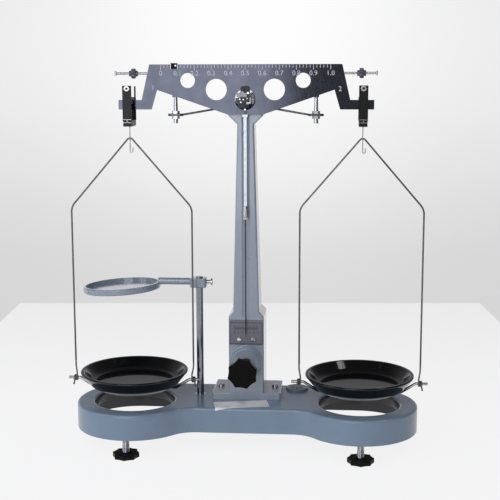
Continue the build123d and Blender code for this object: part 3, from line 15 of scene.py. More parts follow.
import bmesh
import bpy
import numpy as np
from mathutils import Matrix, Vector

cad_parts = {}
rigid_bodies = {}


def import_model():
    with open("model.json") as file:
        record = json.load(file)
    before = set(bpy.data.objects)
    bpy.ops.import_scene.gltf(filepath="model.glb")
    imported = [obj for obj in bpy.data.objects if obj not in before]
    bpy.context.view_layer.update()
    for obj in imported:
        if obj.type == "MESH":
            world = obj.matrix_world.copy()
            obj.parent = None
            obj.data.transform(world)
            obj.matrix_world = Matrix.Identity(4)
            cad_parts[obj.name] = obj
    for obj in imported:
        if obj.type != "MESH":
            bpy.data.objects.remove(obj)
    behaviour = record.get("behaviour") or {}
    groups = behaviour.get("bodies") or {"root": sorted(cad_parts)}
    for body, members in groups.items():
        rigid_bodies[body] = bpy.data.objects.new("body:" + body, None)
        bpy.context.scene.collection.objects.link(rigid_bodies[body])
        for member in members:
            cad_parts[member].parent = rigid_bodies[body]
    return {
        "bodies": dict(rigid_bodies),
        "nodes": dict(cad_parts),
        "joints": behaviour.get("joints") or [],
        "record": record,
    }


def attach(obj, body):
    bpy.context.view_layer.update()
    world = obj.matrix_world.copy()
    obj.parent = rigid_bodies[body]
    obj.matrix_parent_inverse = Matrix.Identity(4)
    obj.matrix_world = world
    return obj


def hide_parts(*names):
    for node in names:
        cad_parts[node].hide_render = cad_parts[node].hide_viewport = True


Array = np.ndarray
Colour = tuple[float, float, float]
MM = 0.001
FULL_TURN = 2 * math.pi
WELD_SURFACES = 2e-6
WELD_FIGURES = 1e-6
BEVEL_SAMPLES = 6
EDGE_LEAN = (0.98, 0.8)
SEED_STEP = (1.0, 0.7, 0.3)
MIX_LOW, MIX_HIGH, MIX_RESULT = 6, 7, 2
JET: Colour = (0.002, 0.002, 0.0023)
OLD_STEEL: Colour = (0.5, 0.49, 0.48)
DAYLIGHT: Colour = (0.93, 0.98, 1.05)
LOG = logging.getLogger("balance")


def tone(red: float, green: float, blue: float) -> Colour:
    """Linear colour of a screen colour.

    Args:
        red: Red from 0 to 255.
        green: Green from 0 to 255.
        blue: Blue from 0 to 255.

    Returns:
        The colour as a shader takes it.
    """
    share = np.array([red, green, blue]) / 255
    curve = ((share + 0.055) / 1.055) ** 2.4
    return tuple(np.where(share <= 0.04045, share / 12.92, curve).tolist())


def unit(vectors: Array) -> Array:
    """Vectors of length one with the directions of those given."""
    return vectors / np.linalg.norm(vectors, axis=-1, keepdims=True)


class Side(Enum):
    """The two ends of the beam, by their direction along X."""

    LEFT = -1
    RIGHT = 1

    @property
    def word(self) -> str:
        """The side's name as the nodes and bodies use it."""
        return self.name.lower()


class Axis(Enum):
    """The axis that a turned shape stands on: its across, up and along directions."""

    X = ((0, 1, 0), (0, 0, 1), (1, 0, 0))
    Y = ((0, 0, 1), (1, 0, 0), (0, 1, 0))
    Z = ((1, 0, 0), (0, 1, 0), (0, 0, 1))

    def points(self, across: Array, up: Array, along: Array, centre: Sequence[float]) -> Array:
        """Places local coordinates in the frame.

        Args:
            across: Coordinates along the first direction.
            up: Coordinates along the second direction.
            along: Coordinates along the axis itself.
            centre: The point that the local coordinates start from.

        Returns:
            Points with one more dimension than the inputs.
        """
        first, second, third = (np.array(v, float) for v in self.value)
        return (across[..., None] * first + up[..., None] * second + along[..., None] * third
                + np.array(centre, float))


# ------------------------------------------------------------------ surfaces
@dataclass(frozen=True)
class Surface:
    """A grid of points, rows by columns by three, whose columns join up round it."""

    points: Array
    wrap_rows: bool = False

    def quads(self) -> Array:
        """Joins every point of the grid to its neighbours.

        Returns:
            The four corner indices of every cell.
        """
        rows, columns = self.points.shape[:2]
        index = np.arange(rows * columns).reshape(rows, columns)
        if self.wrap_rows:
            index = np.vstack([index, index[:1]])
        index = np.hstack([index, index[:, :1]])
        return np.stack([index[:-1, :-1], index[:-1, 1:], index[1:, 1:], index[1:, :-1]],
                        axis=-1).reshape(-1, 4)

    def moved(self, x: float) -> Surface:
        """The same surface, moved along X."""
        return Surface(self.points + np.array([x, 0, 0]), self.wrap_rows)

    def on(self, side: Side) -> Surface:
        """The surface as it is drawn for the right, or its mirror image for the left."""
        return Surface(self.points * np.array([side.value, 1, 1]), self.wrap_rows)


def rounded(corners: Sequence[Sequence[float]], radii: Sequence[float], steps: int = 8) -> Array:
    """Polyline whose inner corners are arcs.

    An arc of radius r touches both of its runs at r / tan(h) from the corner, where h is half of
    the corner's angle, and its centre lies on the bisector at r / sin(h). Its points are the
    centre plus the start spoke turned evenly towards the end spoke.

    Args:
        corners: Points of the polyline, in two or three coordinates.
        radii: One radius for each inner corner; 0 leaves it sharp.
        steps: Number of pieces in each arc.

    Returns:
        The points of the rounded line.
    """
    spots = np.array(corners, float)
    line = [spots[:1]]
    for before, corner, after, radius in zip(spots, spots[1:], spots[2:], radii):
        if radius <= 0:
            line.append(corner[None])
            continue
        back, ahead = unit(before - corner), unit(after - corner)
        half = math.acos(float(np.clip(back @ ahead, -1, 1))) / 2
        centre = corner + unit(back + ahead) * radius / math.sin(half)
        start = corner + back * radius / math.tan(half) - centre
        end = corner + ahead * radius / math.tan(half) - centre
        swing = math.pi - 2 * half
        t = np.linspace(0, 1, steps + 1)[:, None]
        line.append(centre + (np.sin((1 - t) * swing) * start + np.sin(t * swing) * end)
                    / math.sin(swing))
    line.append(spots[-1:])
    return np.concatenate(line)


def tube(path: Array, radius: float, across: Sequence[float], sides: int = 20,
         dome: float = 0.6) -> Surface:
    """Wire along a path, with a low dome on each end.

    A point is P(s) + r(s) (cos v N + sin v B), where T is the path's direction at s, N is the part
    of `across` that stands square on T, and B is T x N. On the domes r(s) is R cos a while the
    row moves out by dome x R sin a.

    Args:
        path: Points of the wire's middle line.
        radius: Radius of the wire.
        across: A direction that the path never follows.
        sides: Number of points round the wire.
        dome: Height of each end's dome, as a share of the radius.

    Returns:
        The wire's surface.
    """
    tangent = unit(np.gradient(path, axis=0))
    tangent[0], tangent[-1] = unit(path[1] - path[0]), unit(path[-1] - path[-2])
    lean = np.array(across, float)
    normal = unit(lean - (tangent @ lean)[:, None] * tangent)
    binormal = np.cross(tangent, normal)
    rise = np.radians([90.0, 65.0, 35.0])
    first = path[0] - np.outer(np.sin(rise), tangent[0]) * radius * dome
    last = path[-1] + np.outer(np.sin(rise[::-1]), tangent[-1]) * radius * dome
    line = np.concatenate([first, path, last])
    reach = radius * np.concatenate([np.cos(rise), np.ones(len(path)), np.cos(rise[::-1])])
    rows = np.clip(np.arange(len(line)) - len(rise), 0, len(path) - 1)
    angle = np.linspace(0, FULL_TURN, sides, endpoint=False)
    spoke = (np.cos(angle)[None, :, None] * normal[rows][:, None]
             + np.sin(angle)[None, :, None] * binormal[rows][:, None])
    return Surface(line[:, None] + reach[:, None, None] * spoke)


def turned(profile: Array, axis: Axis, centre: Sequence[float], segments: int = 96,
           closed: bool = False, flutes: int = 0, flute_depth: float = 0.0,
           fluted: Callable[[Array], Array] | None = None) -> Surface:
    """Profile of (radius, height) pairs carried round an axis.

    A point is (r cos u, r sin u, h). On a fluted shape r loses depth x w(h) x (1 - cos(n u)) / 2,
    where w is 1 on the fluted part and 0 elsewhere.

    Args:
        profile: Pairs of radius and height.
        axis: The axis to turn about.
        centre: The point where radius and height are 0.
        segments: Number of points round the axis.
        closed: Whether the profile is a loop.
        flutes: Number of flutes.
        flute_depth: Depth of a flute.
        fluted: Share of the depth for each row's height and radius.

    Returns:
        The turned surface.
    """
    angle = np.linspace(0, FULL_TURN, segments, endpoint=False)
    radius = np.repeat(profile[:, :1], segments, axis=1)
    if flutes and fluted is not None:
        radius = radius - (fluted(profile)[:, None] * flute_depth
                           * (1 - np.cos(flutes * angle))[None] / 2)
    height = np.repeat(profile[:, 1:], segments, axis=1)
    return Surface(axis.points(radius * np.cos(angle), radius * np.sin(angle), height, centre),
                   wrap_rows=closed)


def thread(radius: float, depth: float, pitch: float, low: float, high: float, axis: Axis,
           centre: Sequence[float], segments: int = 24, rows_per_turn: int = 8) -> Surface:
    """Screw thread between two heights, closed at both ends.

    The radius at height h and angle u is R - depth x |2 f - 1|, where f is the fraction of
    h / pitch - u / 2 pi, and it eases to the root over the last turn at each end.

    Args:
        radius: Outer radius.
        depth: Depth of the thread.
        pitch: Rise of one turn.
        low: Height of the lower end along the axis.
        high: Height of the upper end along the axis.
        axis: The axis of the screw.
        centre: The point where heights start.
        segments: Number of points round the screw.
        rows_per_turn: Number of rows in one turn.

    Returns:
        The threaded surface.
    """
    rows = max(8, int((high - low) / pitch * rows_per_turn))
    height = np.linspace(low, high, rows)
    angle = np.linspace(0, FULL_TURN, segments, endpoint=False)
    wave = np.abs(2 * ((height[:, None] / pitch - angle[None] / FULL_TURN) % 1) - 1)
    ease = np.clip(np.minimum(height - low, high - height) / pitch, 0, 1)[:, None]
    reach = radius - depth * (1 - ease * (1 - wave))
    reach = np.vstack([np.zeros((1, segments)), reach, np.zeros((1, segments))])
    height = np.concatenate([[low], height, [high]])[:, None] + 0 * reach
    return Surface(axis.points(reach * np.cos(angle), reach * np.sin(angle), height, centre))


def ring(centre: Sequence[float], reach: float, wire: float, axis: Axis, around: int = 64,
         sides: int = 16) -> Surface:
    """Ring of round wire.

    A point is ((R + r cos v) cos u, (R + r cos v) sin u, r sin v).

    Args:
        centre: Middle of the ring.
        reach: Radius of its middle line.
        wire: Radius of its wire.
        axis: The axis that it lies round.
        around: Number of points round the ring.
        sides: Number of points round the wire.

    Returns:
        The ring's surface.
    """
    turn = np.linspace(0, FULL_TURN, around, endpoint=False)[:, None]
    roll = np.linspace(0, FULL_TURN, sides, endpoint=False)[None]
    spread = reach + wire * np.cos(roll)
    return Surface(axis.points(spread * np.cos(turn), spread * np.sin(turn),
                               wire * np.sin(roll) + 0 * turn, centre), wrap_rows=True)


def bars(low: Array, high: Array) -> list[Surface]:
    """Many thin bars at once, each the closed skin of a box between two corners.

    Every bar is the same grid of four rows by four columns with the values 0 and 1 along each
    direction, stretched from its low corner to its high corner.

    Args:
        low: Lowest corners, one row for each bar.
        high: Highest corners, one row for each bar.

    Returns:
        One surface for each bar.
    """
    round_x, round_y = np.array([0, 1, 1, 0]), np.array([0, 0, 1, 1])
    grid = np.zeros((4, 4, 3))
    grid[1:3, :, 0], grid[1:3, :, 1] = round_x, round_y
    grid[0], grid[3] = (0.5, 0.5, 0), (0.5, 0.5, 1)
    grid[1, :, 2], grid[2, :, 2] = 0, 1
    stack = low[:, None, None] + grid[None] * (high - low)[:, None, None]
    return [Surface(points) for points in stack]


def marks(left: Array, width: float, front: float, back: float, low: Array | float,
          high: Array | float) -> list[Surface]:
    """Upright bars side by side.

    Args:
        left: X of the left side of each bar.
        width: Width of every bar.
        front: Y of their front.
        back: Y of their back.
        low: Z of each bar's lower end, or of all of them.
        high: Z of each bar's upper end, or of all of them.

    Returns:
        One surface for each bar.
    """
    return bars(np.stack(np.broadcast_arrays(left, front, low), axis=1),
                np.stack(np.broadcast_arrays(left + width, back, high), axis=1))


def lettering(text: str, size: float) -> bpy.types.Mesh:
    """Raised number in the middle of its own origin.

    Args:
        text: The number.
        size: Size of the figures in millimetres.

    Returns:
        The number as a mesh in metres, facing along its own Z.
    """
    raised, bolder, spaced = 0.04, 0.04, 1.02
    curve = bpy.data.curves.new("figure", "FONT")
    curve.body = text
    curve.size = size * MM
    curve.align_x, curve.align_y = "CENTER", "CENTER"
    curve.space_character = spaced
    curve.extrude = raised * MM
    curve.offset = bolder * MM
    curve.resolution_u = 3
    holder = bpy.data.objects.new("figure", curve)
    bpy.context.scene.collection.objects.link(holder)
    bpy.context.view_layer.update()
    view = bpy.context.evaluated_depsgraph_get()
    mesh = bpy.data.meshes.new_from_object(holder.evaluated_get(view), depsgraph=view)
    bpy.data.objects.remove(holder)
    bpy.data.curves.remove(curve)
    weld(mesh, WELD_FIGURES)
    return mesh


def numbers(name: str, labels: Sequence[tuple[str, float, float, float]],
            front: float) -> bpy.types.Mesh:
    """Numbers that stand upright on a face that looks to the front.

    Args:
        name: Name of the mesh.
        labels: Each number with its X, its Z and its size in millimetres.
        front: Y of the face.

    Returns:
        All of them as one mesh.
    """
    mesh = bpy.data.meshes.new(name)
    shape = bmesh.new()
    for text, x, z, size in labels:
        part = lettering(text, size)
        points = np.empty(len(part.vertices) * 3)
        part.vertices.foreach_get("co", points)
        flat = points.reshape(-1, 3)
        placed = np.stack([flat[:, 0] + x * MM, front * MM - flat[:, 2], flat[:, 1] + z * MM], 1)
        part.vertices.foreach_set("co", placed.ravel())
        shape.from_mesh(part)
        bpy.data.meshes.remove(part)
    shape.to_mesh(mesh)
    shape.free()
    return mesh


def mesh_of(name: str, surfaces: Sequence[Surface], crease: float) -> bpy.types.Mesh:
    """Joins surfaces into one closed mesh.

    Args:
        name: Name of the mesh.
        surfaces: The surfaces, in millimetres.
        crease: Angle in degrees past which an edge stays sharp.

    Returns:
        A mesh in metres, its seams and poles welded and its faces pointing outwards.
    """
    counts = [s.points.size // 3 for s in surfaces]
    starts = np.cumsum([0] + counts[:-1])
    points = np.concatenate([s.points.reshape(-1, 3) for s in surfaces]) * MM
    quads = np.concatenate([s.quads() + start for s, start in zip(surfaces, starts)])
    mesh = bpy.data.meshes.new(name)
    mesh.vertices.add(len(points))
    mesh.vertices.foreach_set("co", points.ravel())
    mesh.loops.add(quads.size)
    mesh.loops.foreach_set("vertex_index", quads.ravel().astype(np.int32))
    mesh.polygons.add(len(quads))
    mesh.polygons.foreach_set("loop_start", np.arange(0, quads.size, 4, dtype=np.int32))
    mesh.update(calc_edges=True)
    weld(mesh, WELD_SURFACES)
    mesh.shade_smooth()
    mesh.set_sharp_from_angle(angle=math.radians(crease))
    return mesh


def weld(mesh: bpy.types.Mesh, distance: float) -> None:
    """Merges points and turns every shell outwards.

    Args:
        mesh: The mesh, which is changed.
        distance: Distance in metres within which points merge.
    """
    shape = bmesh.new()
    shape.from_mesh(mesh)
    bmesh.ops.remove_doubles(shape, verts=shape.verts, dist=distance)
    bmesh.ops.recalc_face_normals(shape, faces=shape.faces)
    shape.to_mesh(mesh)
    shape.free()


# ------------------------------------------------------------------ finishes
class Graph:
    """A node tree in the making."""

    def __init__(self, tree: bpy.types.NodeTree) -> None:
        """Empties the tree.

        Args:
            tree: The tree to fill.
        """
        self.tree = tree
        self.tree.nodes.clear()

    def span(self, source: bpy.types.NodeSocket, low: float, high: float, start: float,
             end: float, soft: bool = False) -> bpy.types.NodeSocket:
        """Maps low..high to start..end, held at both ends.

        Args:
            source: The value to map.
            low: Value that gives the start.
            high: Value that gives the end.
            start: Result at the low value.
            end: Result at the high value.
            soft: Whether it eases in and out.

        Returns:
            The mapped value.
        """
        node = self.tree.nodes.new("ShaderNodeMapRange")
        node.interpolation_type = "SMOOTHSTEP" if soft else "LINEAR"
        for socket, value in zip(("From Min", "From Max", "To Min", "To Max"),
                                 (low, high, start, end)):
            node.inputs[socket].default_value = value
        self.tree.links.new(source, node.inputs["Value"])
        return node.outputs[0]

    def maths(self, kind: str, first: bpy.types.NodeSocket,
              second: bpy.types.NodeSocket | float) -> bpy.types.NodeSocket:
        """Works out one value from two.

        Args:
            kind: Name of the sum that the Math node does.
            first: The first value.
            second: The second value, or a number.

        Returns:
            The result.
        """
        node = self.tree.nodes.new("ShaderNodeMath")
        node.operation = kind
        self.tree.links.new(first, node.inputs[0])
        if isinstance(second, float):
            node.inputs[1].default_value = second
        else:
            self.tree.links.new(second, node.inputs[1])
        return node.outputs[0]

    def blend(self, share: bpy.types.NodeSocket, low: Colour | bpy.types.NodeSocket,
              high: Colour | bpy.types.NodeSocket) -> bpy.types.NodeSocket:
        """Colour between two others.

        Args:
            share: 0 gives the low colour and 1 the high one.
            low: A colour, or a socket that gives one.
            high: A colour, or a socket that gives one.

        Returns:
            The mixed colour.
        """
        node = self.tree.nodes.new("ShaderNodeMix")
        node.data_type = "RGBA"
        self.tree.links.new(share, node.inputs[0])
        for slot, colour in ((MIX_LOW, low), (MIX_HIGH, high)):
            if isinstance(colour, tuple):
                node.inputs[slot].default_value = (*colour, 1)
            else:
                self.tree.links.new(colour, node.inputs[slot])
        return node.outputs[MIX_RESULT]

    def ramp(self, source: bpy.types.NodeSocket, low: float, high: float,
             stops: Sequence[tuple[float, int]]) -> bpy.types.NodeSocket:
        """Grey that runs smoothly through screen levels.

        Args:
            source: The value that runs along the ramp.
            low: The value at its start.
            high: The value at its end.
            stops: Pairs of value and screen level.

        Returns:
            The grey.
        """
        node = self.tree.nodes.new("ShaderNodeValToRGB")
        node.color_ramp.interpolation = "CARDINAL"
        while len(node.color_ramp.elements) < len(stops):
            node.color_ramp.elements.new(0.5)
        for element, (value, level) in zip(node.color_ramp.elements, stops):
            element.position = (value - low) / (high - low)
            element.color = (*tone(level, level, level + 1), 1)
        self.tree.links.new(self.span(source, low, high, 0, 1), node.inputs[0])
        return node.outputs[0]

    def seen(self) -> bpy.types.NodeSocket:
        """Tells the rays that see things from the rays that light them.

        Returns:
            1 for rays from the camera, from mirrors and through glass, and 0 for the rest.
        """
        path = self.tree.nodes.new("ShaderNodeLightPath")
        total = self.maths("MAXIMUM", path.outputs["Is Camera Ray"], path.outputs["Is Glossy Ray"])
        return self.maths("MAXIMUM", total, path.outputs["Is Transmission Ray"])


class Pattern(Graph):
    """A finish's node graph in the making, with Object coordinates and one Principled shader."""

    def __init__(self, name: str) -> None:
        """Starts an empty graph.

        Args:
            name: Name of the material.
        """
        self.material = bpy.data.materials.new(name)
        self.material.use_nodes = True
        super().__init__(self.material.node_tree)
        self.shader = self.tree.nodes.new("ShaderNodeBsdfPrincipled")
        self.output = self.tree.nodes.new("ShaderNodeOutputMaterial")
        self.tree.links.new(self.shader.outputs[0], self.output.inputs[0])
        self.place = self.tree.nodes.new("ShaderNodeTexCoord").outputs["Object"]

    def plain(self, **values: float | Sequence[float]) -> None:
        """Sets values that are the same all over on the shader's own sockets."""
        for socket, value in values.items():
            self.shader.inputs[socket.replace("_", " ")].default_value = value

    def drive(self, socket: str, source: bpy.types.NodeSocket) -> None:
        """Links a varying value to one of the shader's sockets."""
        self.tree.links.new(source, self.shader.inputs[socket])

    def grain(self, size: float, detail: float = 3.0, stretch: Sequence[float] = (1, 1, 1),
              seed: float = 0.0) -> bpy.types.NodeSocket:
        """Noise from 0 to 1.

        Args:
            size: Size of its spots in millimetres.
            detail: Number of finer octaves.
            stretch: How many times longer the spots are along X, Y and Z.
            seed: Moves the pattern, so that two of them differ.

        Returns:
            The noise's value.
        """
        mapping = self.tree.nodes.new("ShaderNodeMapping")
        mapping.inputs["Location"].default_value = [seed * step for step in SEED_STEP]
        mapping.inputs["Scale"].default_value = [1 / (size * MM * s) for s in stretch]
        self.tree.links.new(self.place, mapping.inputs["Vector"])
        noise = self.tree.nodes.new("ShaderNodeTexNoise")
        noise.inputs["Scale"].default_value = 1.0
        noise.inputs["Detail"].default_value = detail
        self.tree.links.new(mapping.outputs[0], noise.inputs["Vector"])
        return noise.outputs["Fac"]

    def spots(self, size: float, detail: float, low: float, high: float, most: float = 1.0,
              stretch: Sequence[float] = (1, 1, 1), seed: float = 0.0) -> bpy.types.NodeSocket:
        """Soft-edged spots, cut out of the grain.

        Args:
            size: Size of the spots in millimetres.
            detail: Number of finer octaves.
            low: Level of the grain where a spot starts.
            high: Level at which it is full.
            most: Value inside the spots.
            stretch: How many times longer the spots are along X, Y and Z.
            seed: Moves the pattern.

        Returns:
            0 outside the spots and the most inside them.
        """
        return self.span(self.grain(size, detail, stretch, seed), low, high, 0, most)

    def coordinates(self) -> bpy.types.NodeOutputs:
        """Splits the place.

        Returns:
            X, Y and Z in metres.
        """
        split = self.tree.nodes.new("ShaderNodeSeparateXYZ")
        self.tree.links.new(self.place, split.inputs[0])
        return split.outputs

    def height(self, low: float, high: float, axis: str = "Z") -> bpy.types.NodeSocket:
        """Rises from 0 to 1 between two places along an axis.

        Args:
            low: The first place in millimetres.
            high: The second place in millimetres.
            axis: The axis.

        Returns:
            The mask.
        """
        return self.span(self.coordinates()[axis], low * MM, high * MM, 0, 1)

    def below(self, value: bpy.types.NodeSocket, limit: float,
              blur: float) -> bpy.types.NodeSocket:
        """Falls from 1 to 0 where a value passes a limit.

        Args:
            value: The value in metres.
            limit: The limit in millimetres.
            blur: How far past the limit it reaches 0, in millimetres.

        Returns:
            The mask.
        """
        return self.span(value, limit * MM, (limit + blur) * MM, 1, 0)

    def roughen(self, source: bpy.types.NodeSocket, low: float, high: float, start: float,
                end: float) -> None:
        """Drives the roughness by a pattern.

        Args:
            source: The pattern.
            low: Level of the pattern that gives the start.
            high: Level of the pattern that gives the end.
            start: Roughness at the low level.
            end: Roughness at the high level.
        """
        self.drive("Roughness", self.span(source, low, high, start, end))

    def softened(self, radius: float) -> bpy.types.NodeSocket:
        """Normal that runs round sharp edges as if they were rounded.

        Args:
            radius: Radius of the rounding in millimetres.

        Returns:
            The normal.
        """
        bevel = self.tree.nodes.new("ShaderNodeBevel")
        bevel.samples = BEVEL_SAMPLES
        bevel.inputs["Radius"].default_value = radius * MM
        return bevel.outputs[0]

    def edges(self, radius: float) -> bpy.types.NodeSocket:
        """1 on sharp edges and 0 on faces, from how far a rounded normal leans off the real one.

        Args:
            radius: Width of the edge band in millimetres.

        Returns:
            The mask.
        """
        face = self.tree.nodes.new("ShaderNodeNewGeometry")
        match = self.tree.nodes.new("ShaderNodeVectorMath")
        match.operation = "DOT_PRODUCT"
        self.tree.links.new(self.softened(radius), match.inputs[0])
        self.tree.links.new(face.outputs["Normal"], match.inputs[1])
        return self.span(match.outputs["Value"], *EDGE_LEAN, 0, 1)

    def relief(self, layers: Sequence[tuple[bpy.types.NodeSocket, float]],
               edge_radius: float = 0.0) -> None:
        """Bumps the surface.

        Args:
            layers: Height patterns with their depth in millimetres, the broadest first.
            edge_radius: Radius that sharp edges are softened by, in millimetres.
        """
        normal = self.softened(edge_radius) if edge_radius else None
        for pattern, depth in layers:
            bump = self.tree.nodes.new("ShaderNodeBump")
            bump.inputs["Distance"].default_value = depth * MM
            self.tree.links.new(pattern, bump.inputs["Height"])
            if normal is not None:
                self.tree.links.new(normal, bump.inputs["Normal"])
            normal = bump.outputs[0]
        if normal is not None:
            self.drive("Normal", normal)


@dataclass(frozen=True)
class Finish:
    """What every finish has: its name, its colour and how rough it is."""

    name: str
    colour: Colour
    roughness: float
    made: ClassVar[dict[str, bpy.types.Material]] = {}

    def material(self) -> bpy.types.Material:
        """The finish's material, made on first use."""
        if self.name not in self.made:
            pattern = Pattern(self.name)
            self.paint(pattern)
            self.made[self.name] = pattern.material
        return self.made[self.name]

    def shade(self, factor: float) -> Colour:
        """The colour made lighter or darker."""
        return tuple(min(1.0, c * factor) for c in self.colour)

    def paint(self, pattern: Pattern) -> None:
        """Fills in the pattern."""
        raise NotImplementedError


@dataclass(frozen=True)
class Enamel(Finish):
    """Sprayed paint on a casting: orange peel, faint clouding, and edges lighter from wear and
    from a painted highlight.
    """

    peel: float = 0.012
    coat: float = 0.5
    edge: float = 1.2
    specular: float = 0.5
    rim: float = 0.7
    cloud_size: float = 38.0
    speck_size: float = 0.9
    peel_size: float = 9.0
    pore_size: float = 1.1

    def colours(self, pattern: Pattern) -> bpy.types.NodeSocket:
        """Clouded and specked colour with edges lightened for wear and as a painted highlight."""
        cloud = pattern.spots(self.cloud_size, 4, 0.3, 0.7)
        body = pattern.blend(cloud, self.shade(0.94), self.shade(1.05))
        speck = pattern.spots(self.speck_size, 2, 0.68, 0.76, 0.3, seed=7)
        body = pattern.blend(speck, body, self.shade(1.3))
        # the lighter edge band is partly wear and partly a painted highlight along the edges
        return pattern.blend(pattern.edges(self.rim), body, self.shade(self.edge))

    def paint(self, pattern: Pattern) -> None:
        """Clouds the colour, lightens the edges for wear and as a painted highlight, and adds
        orange peel.
        """
        pattern.drive("Base Color", self.colours(pattern))
        pattern.roughen(pattern.grain(6, 3, seed=3), 0.2, 0.8, self.roughness - 0.05,
                        self.roughness + 0.07)
        pattern.plain(Coat_Weight=self.coat, Coat_Roughness=0.12,
                      Specular_IOR_Level=self.specular)
        pattern.relief([(pattern.grain(self.peel_size, 2, seed=5), self.peel * 2),
                        (pattern.grain(self.pore_size, 2), self.peel * 0.6)], self.rim)


@dataclass(frozen=True)
class CastingEnamel(Enamel):
    """Paint on the base, with near-black painted shade in its wells, in the hollow round them and
    inside the waist.
    """

    # near-black colour that paints the shade inside the wells, the hollow and the waist
    primer: Colour = (0.012, 0.011, 0.016)
    well_x: float = 130.0
    well_reach: float = 46.25
    hollow_reach: float = 61.9
    hollow_top: float = 49.5
    blur: float = 0.5
    waist_half: float = 130.0
    waist_front: float = -28.5
    waist_back: float = 62.6
    waist_top: float = 45.4
    waist_blur: float = 0.3

    def colours(self, pattern: Pattern) -> bpy.types.NodeSocket:
        """Painted shade in the wells, in the hollow and inside the waist, and paint elsewhere."""
        x, y, z = pattern.coordinates()
        off = pattern.maths("ABSOLUTE", x, 0.0)
        across = pattern.maths("SUBTRACT", off, self.well_x * MM)
        square = pattern.maths("ADD", pattern.maths("MULTIPLY", across, across),
                               pattern.maths("MULTIPLY", y, y))
        reach = pattern.maths("SQRT", square, 0.0)
        well = pattern.below(reach, self.well_reach, self.blur)
        hollow = pattern.maths("MULTIPLY", pattern.below(reach, self.hollow_reach, self.blur),
                               pattern.below(z, self.hollow_top, self.blur))
        waist = pattern.below(off, self.waist_half, self.blur)
        for part in (pattern.height(self.waist_front, self.waist_front + self.waist_blur, "Y"),
                     pattern.below(y, self.waist_back, self.waist_blur),
                     pattern.below(z, self.waist_top, self.waist_blur)):
            waist = pattern.maths("MULTIPLY", waist, part)
        # mask where the painted shade goes: the wells, the hollow and the inside of the waist
        dark = pattern.maths("MAXIMUM", pattern.maths("MAXIMUM", well, hollow), waist)
        return pattern.blend(dark, super().colours(pattern), self.primer)


@dataclass(frozen=True)
class Metal(Finish):
    """Bare metal: fine marks along its length, spots of tarnish, brighter rubbed edges."""

    grain_size: float = 0.25
    stretch: tuple[float, float, float] = (1, 1, 1)
    depth: float = 0.004
    tarnish: float = 0.78
    spread: float = 0.08
    dark_above: float = 0.0
    # height below which the colour falls to near black as painted shade
    dark_below: float = 0.0
    stain_size: float = 5.0
    rim: float = 0.25
    soften: float = 0.12
    rise_above: float = 0.4
    rise_below: float = 5.0

    def paint(self, pattern: Pattern) -> None:
        """Varies colour and roughness with the marks and the tarnish, and darkens it above a
        height, or below one as painted shade.
        """
        marked = pattern.grain(self.grain_size, 3, self.stretch)
        stain = pattern.spots(self.stain_size, 4, 0.35, 0.7, seed=4)
        body = pattern.blend(stain, self.colour, self.shade(self.tarnish))
        body = pattern.blend(pattern.edges(self.rim), body, self.shade(1.18))
        if self.dark_above:
            above = pattern.height(self.dark_above, self.dark_above + self.rise_above)
            body = pattern.blend(above, body, self.shade(0.12))
        # below that height the colour is near black: painted shade that hides a pale reflection
        if self.dark_below:
            above = pattern.height(self.dark_below, self.dark_below + self.rise_below)
            body = pattern.blend(above, self.shade(0.06), body)
        pattern.drive("Base Color", body)
        pattern.roughen(marked, 0.25, 0.75, self.roughness - self.spread / 2,
                        self.roughness + self.spread)
        pattern.plain(Metallic=1.0)
        pattern.relief([(marked, self.depth)], self.soften)


@dataclass(frozen=True)
class Blackened(Finish):
    """Blackened plate, polished: a dark mirror with cloudy patches and fine upright marks."""

    patch: float = 19.0
    grain_size: float = 0.35
    depth: float = 0.0004
    rim: float = 0.3
    soften: float = 0.2

    def paint(self, pattern: Pattern) -> None:
        """Lays patches and marks over the dark metal and rubs its edges bare."""
        cloud = pattern.spots(self.patch, 4, 0.3, 0.7)
        marked = pattern.grain(self.grain_size, 3, (1, 1, 26), seed=3)
        body = pattern.blend(cloud, self.shade(0.86), self.shade(1.12))
        body = pattern.blend(pattern.span(marked, 0.55, 0.8, 0, 0.4), body, self.shade(1.4))
        pattern.drive("Base Color", pattern.blend(pattern.edges(self.rim), body, self.shade(1.6)))
        pattern.roughen(marked, 0.25, 0.75, self.roughness, self.roughness + 0.1)
        pattern.plain(Metallic=1.0)
        pattern.relief([(marked, self.depth)], self.soften)


@dataclass(frozen=True)
class Lacquer(Finish):
    """Dark lacquer or moulded plastic: deep gloss with hairlines and a slight haze."""

    ripple: float = 0.01
    haze: float = 0.06
    edge: float = 1.6
    soften: float = 0.3
    specular: float = 0.5
    dull_below: float = 0.0
    dull_rise: float = 5.0
    dulled: float = 0.45
    hairline_size: float = 0.5
    dust_size: float = 14.0
    ripple_size: float = 16.0
    rim: float = 0.35

    def paint(self, pattern: Pattern) -> None:
        """Adds ripple, hairlines, lighter rubbed edges and a dull underside."""
        hairlines = pattern.grain(self.hairline_size, 2, (1, 14, 14), seed=2)
        dust = pattern.spots(self.dust_size, 4, 0.4, 0.75, 0.5, seed=6)
        body = pattern.blend(dust, self.colour, self.shade(1.35))
        body = pattern.blend(pattern.edges(self.rim), body, self.shade(self.edge))
        pattern.drive("Base Color", body)
        gloss = pattern.span(hairlines, 0.3, 0.72, self.roughness, self.roughness + self.haze)
        if self.dull_below:
            above = pattern.height(self.dull_below, self.dull_below + self.dull_rise)
            gloss = pattern.maths("ADD", gloss, pattern.span(above, 0, 1, self.dulled, 0))
        pattern.drive("Roughness", gloss)
        pattern.plain(Specular_IOR_Level=self.specular)
        pattern.relief([(pattern.grain(self.ripple_size, 2, seed=1), self.ripple)], self.soften)


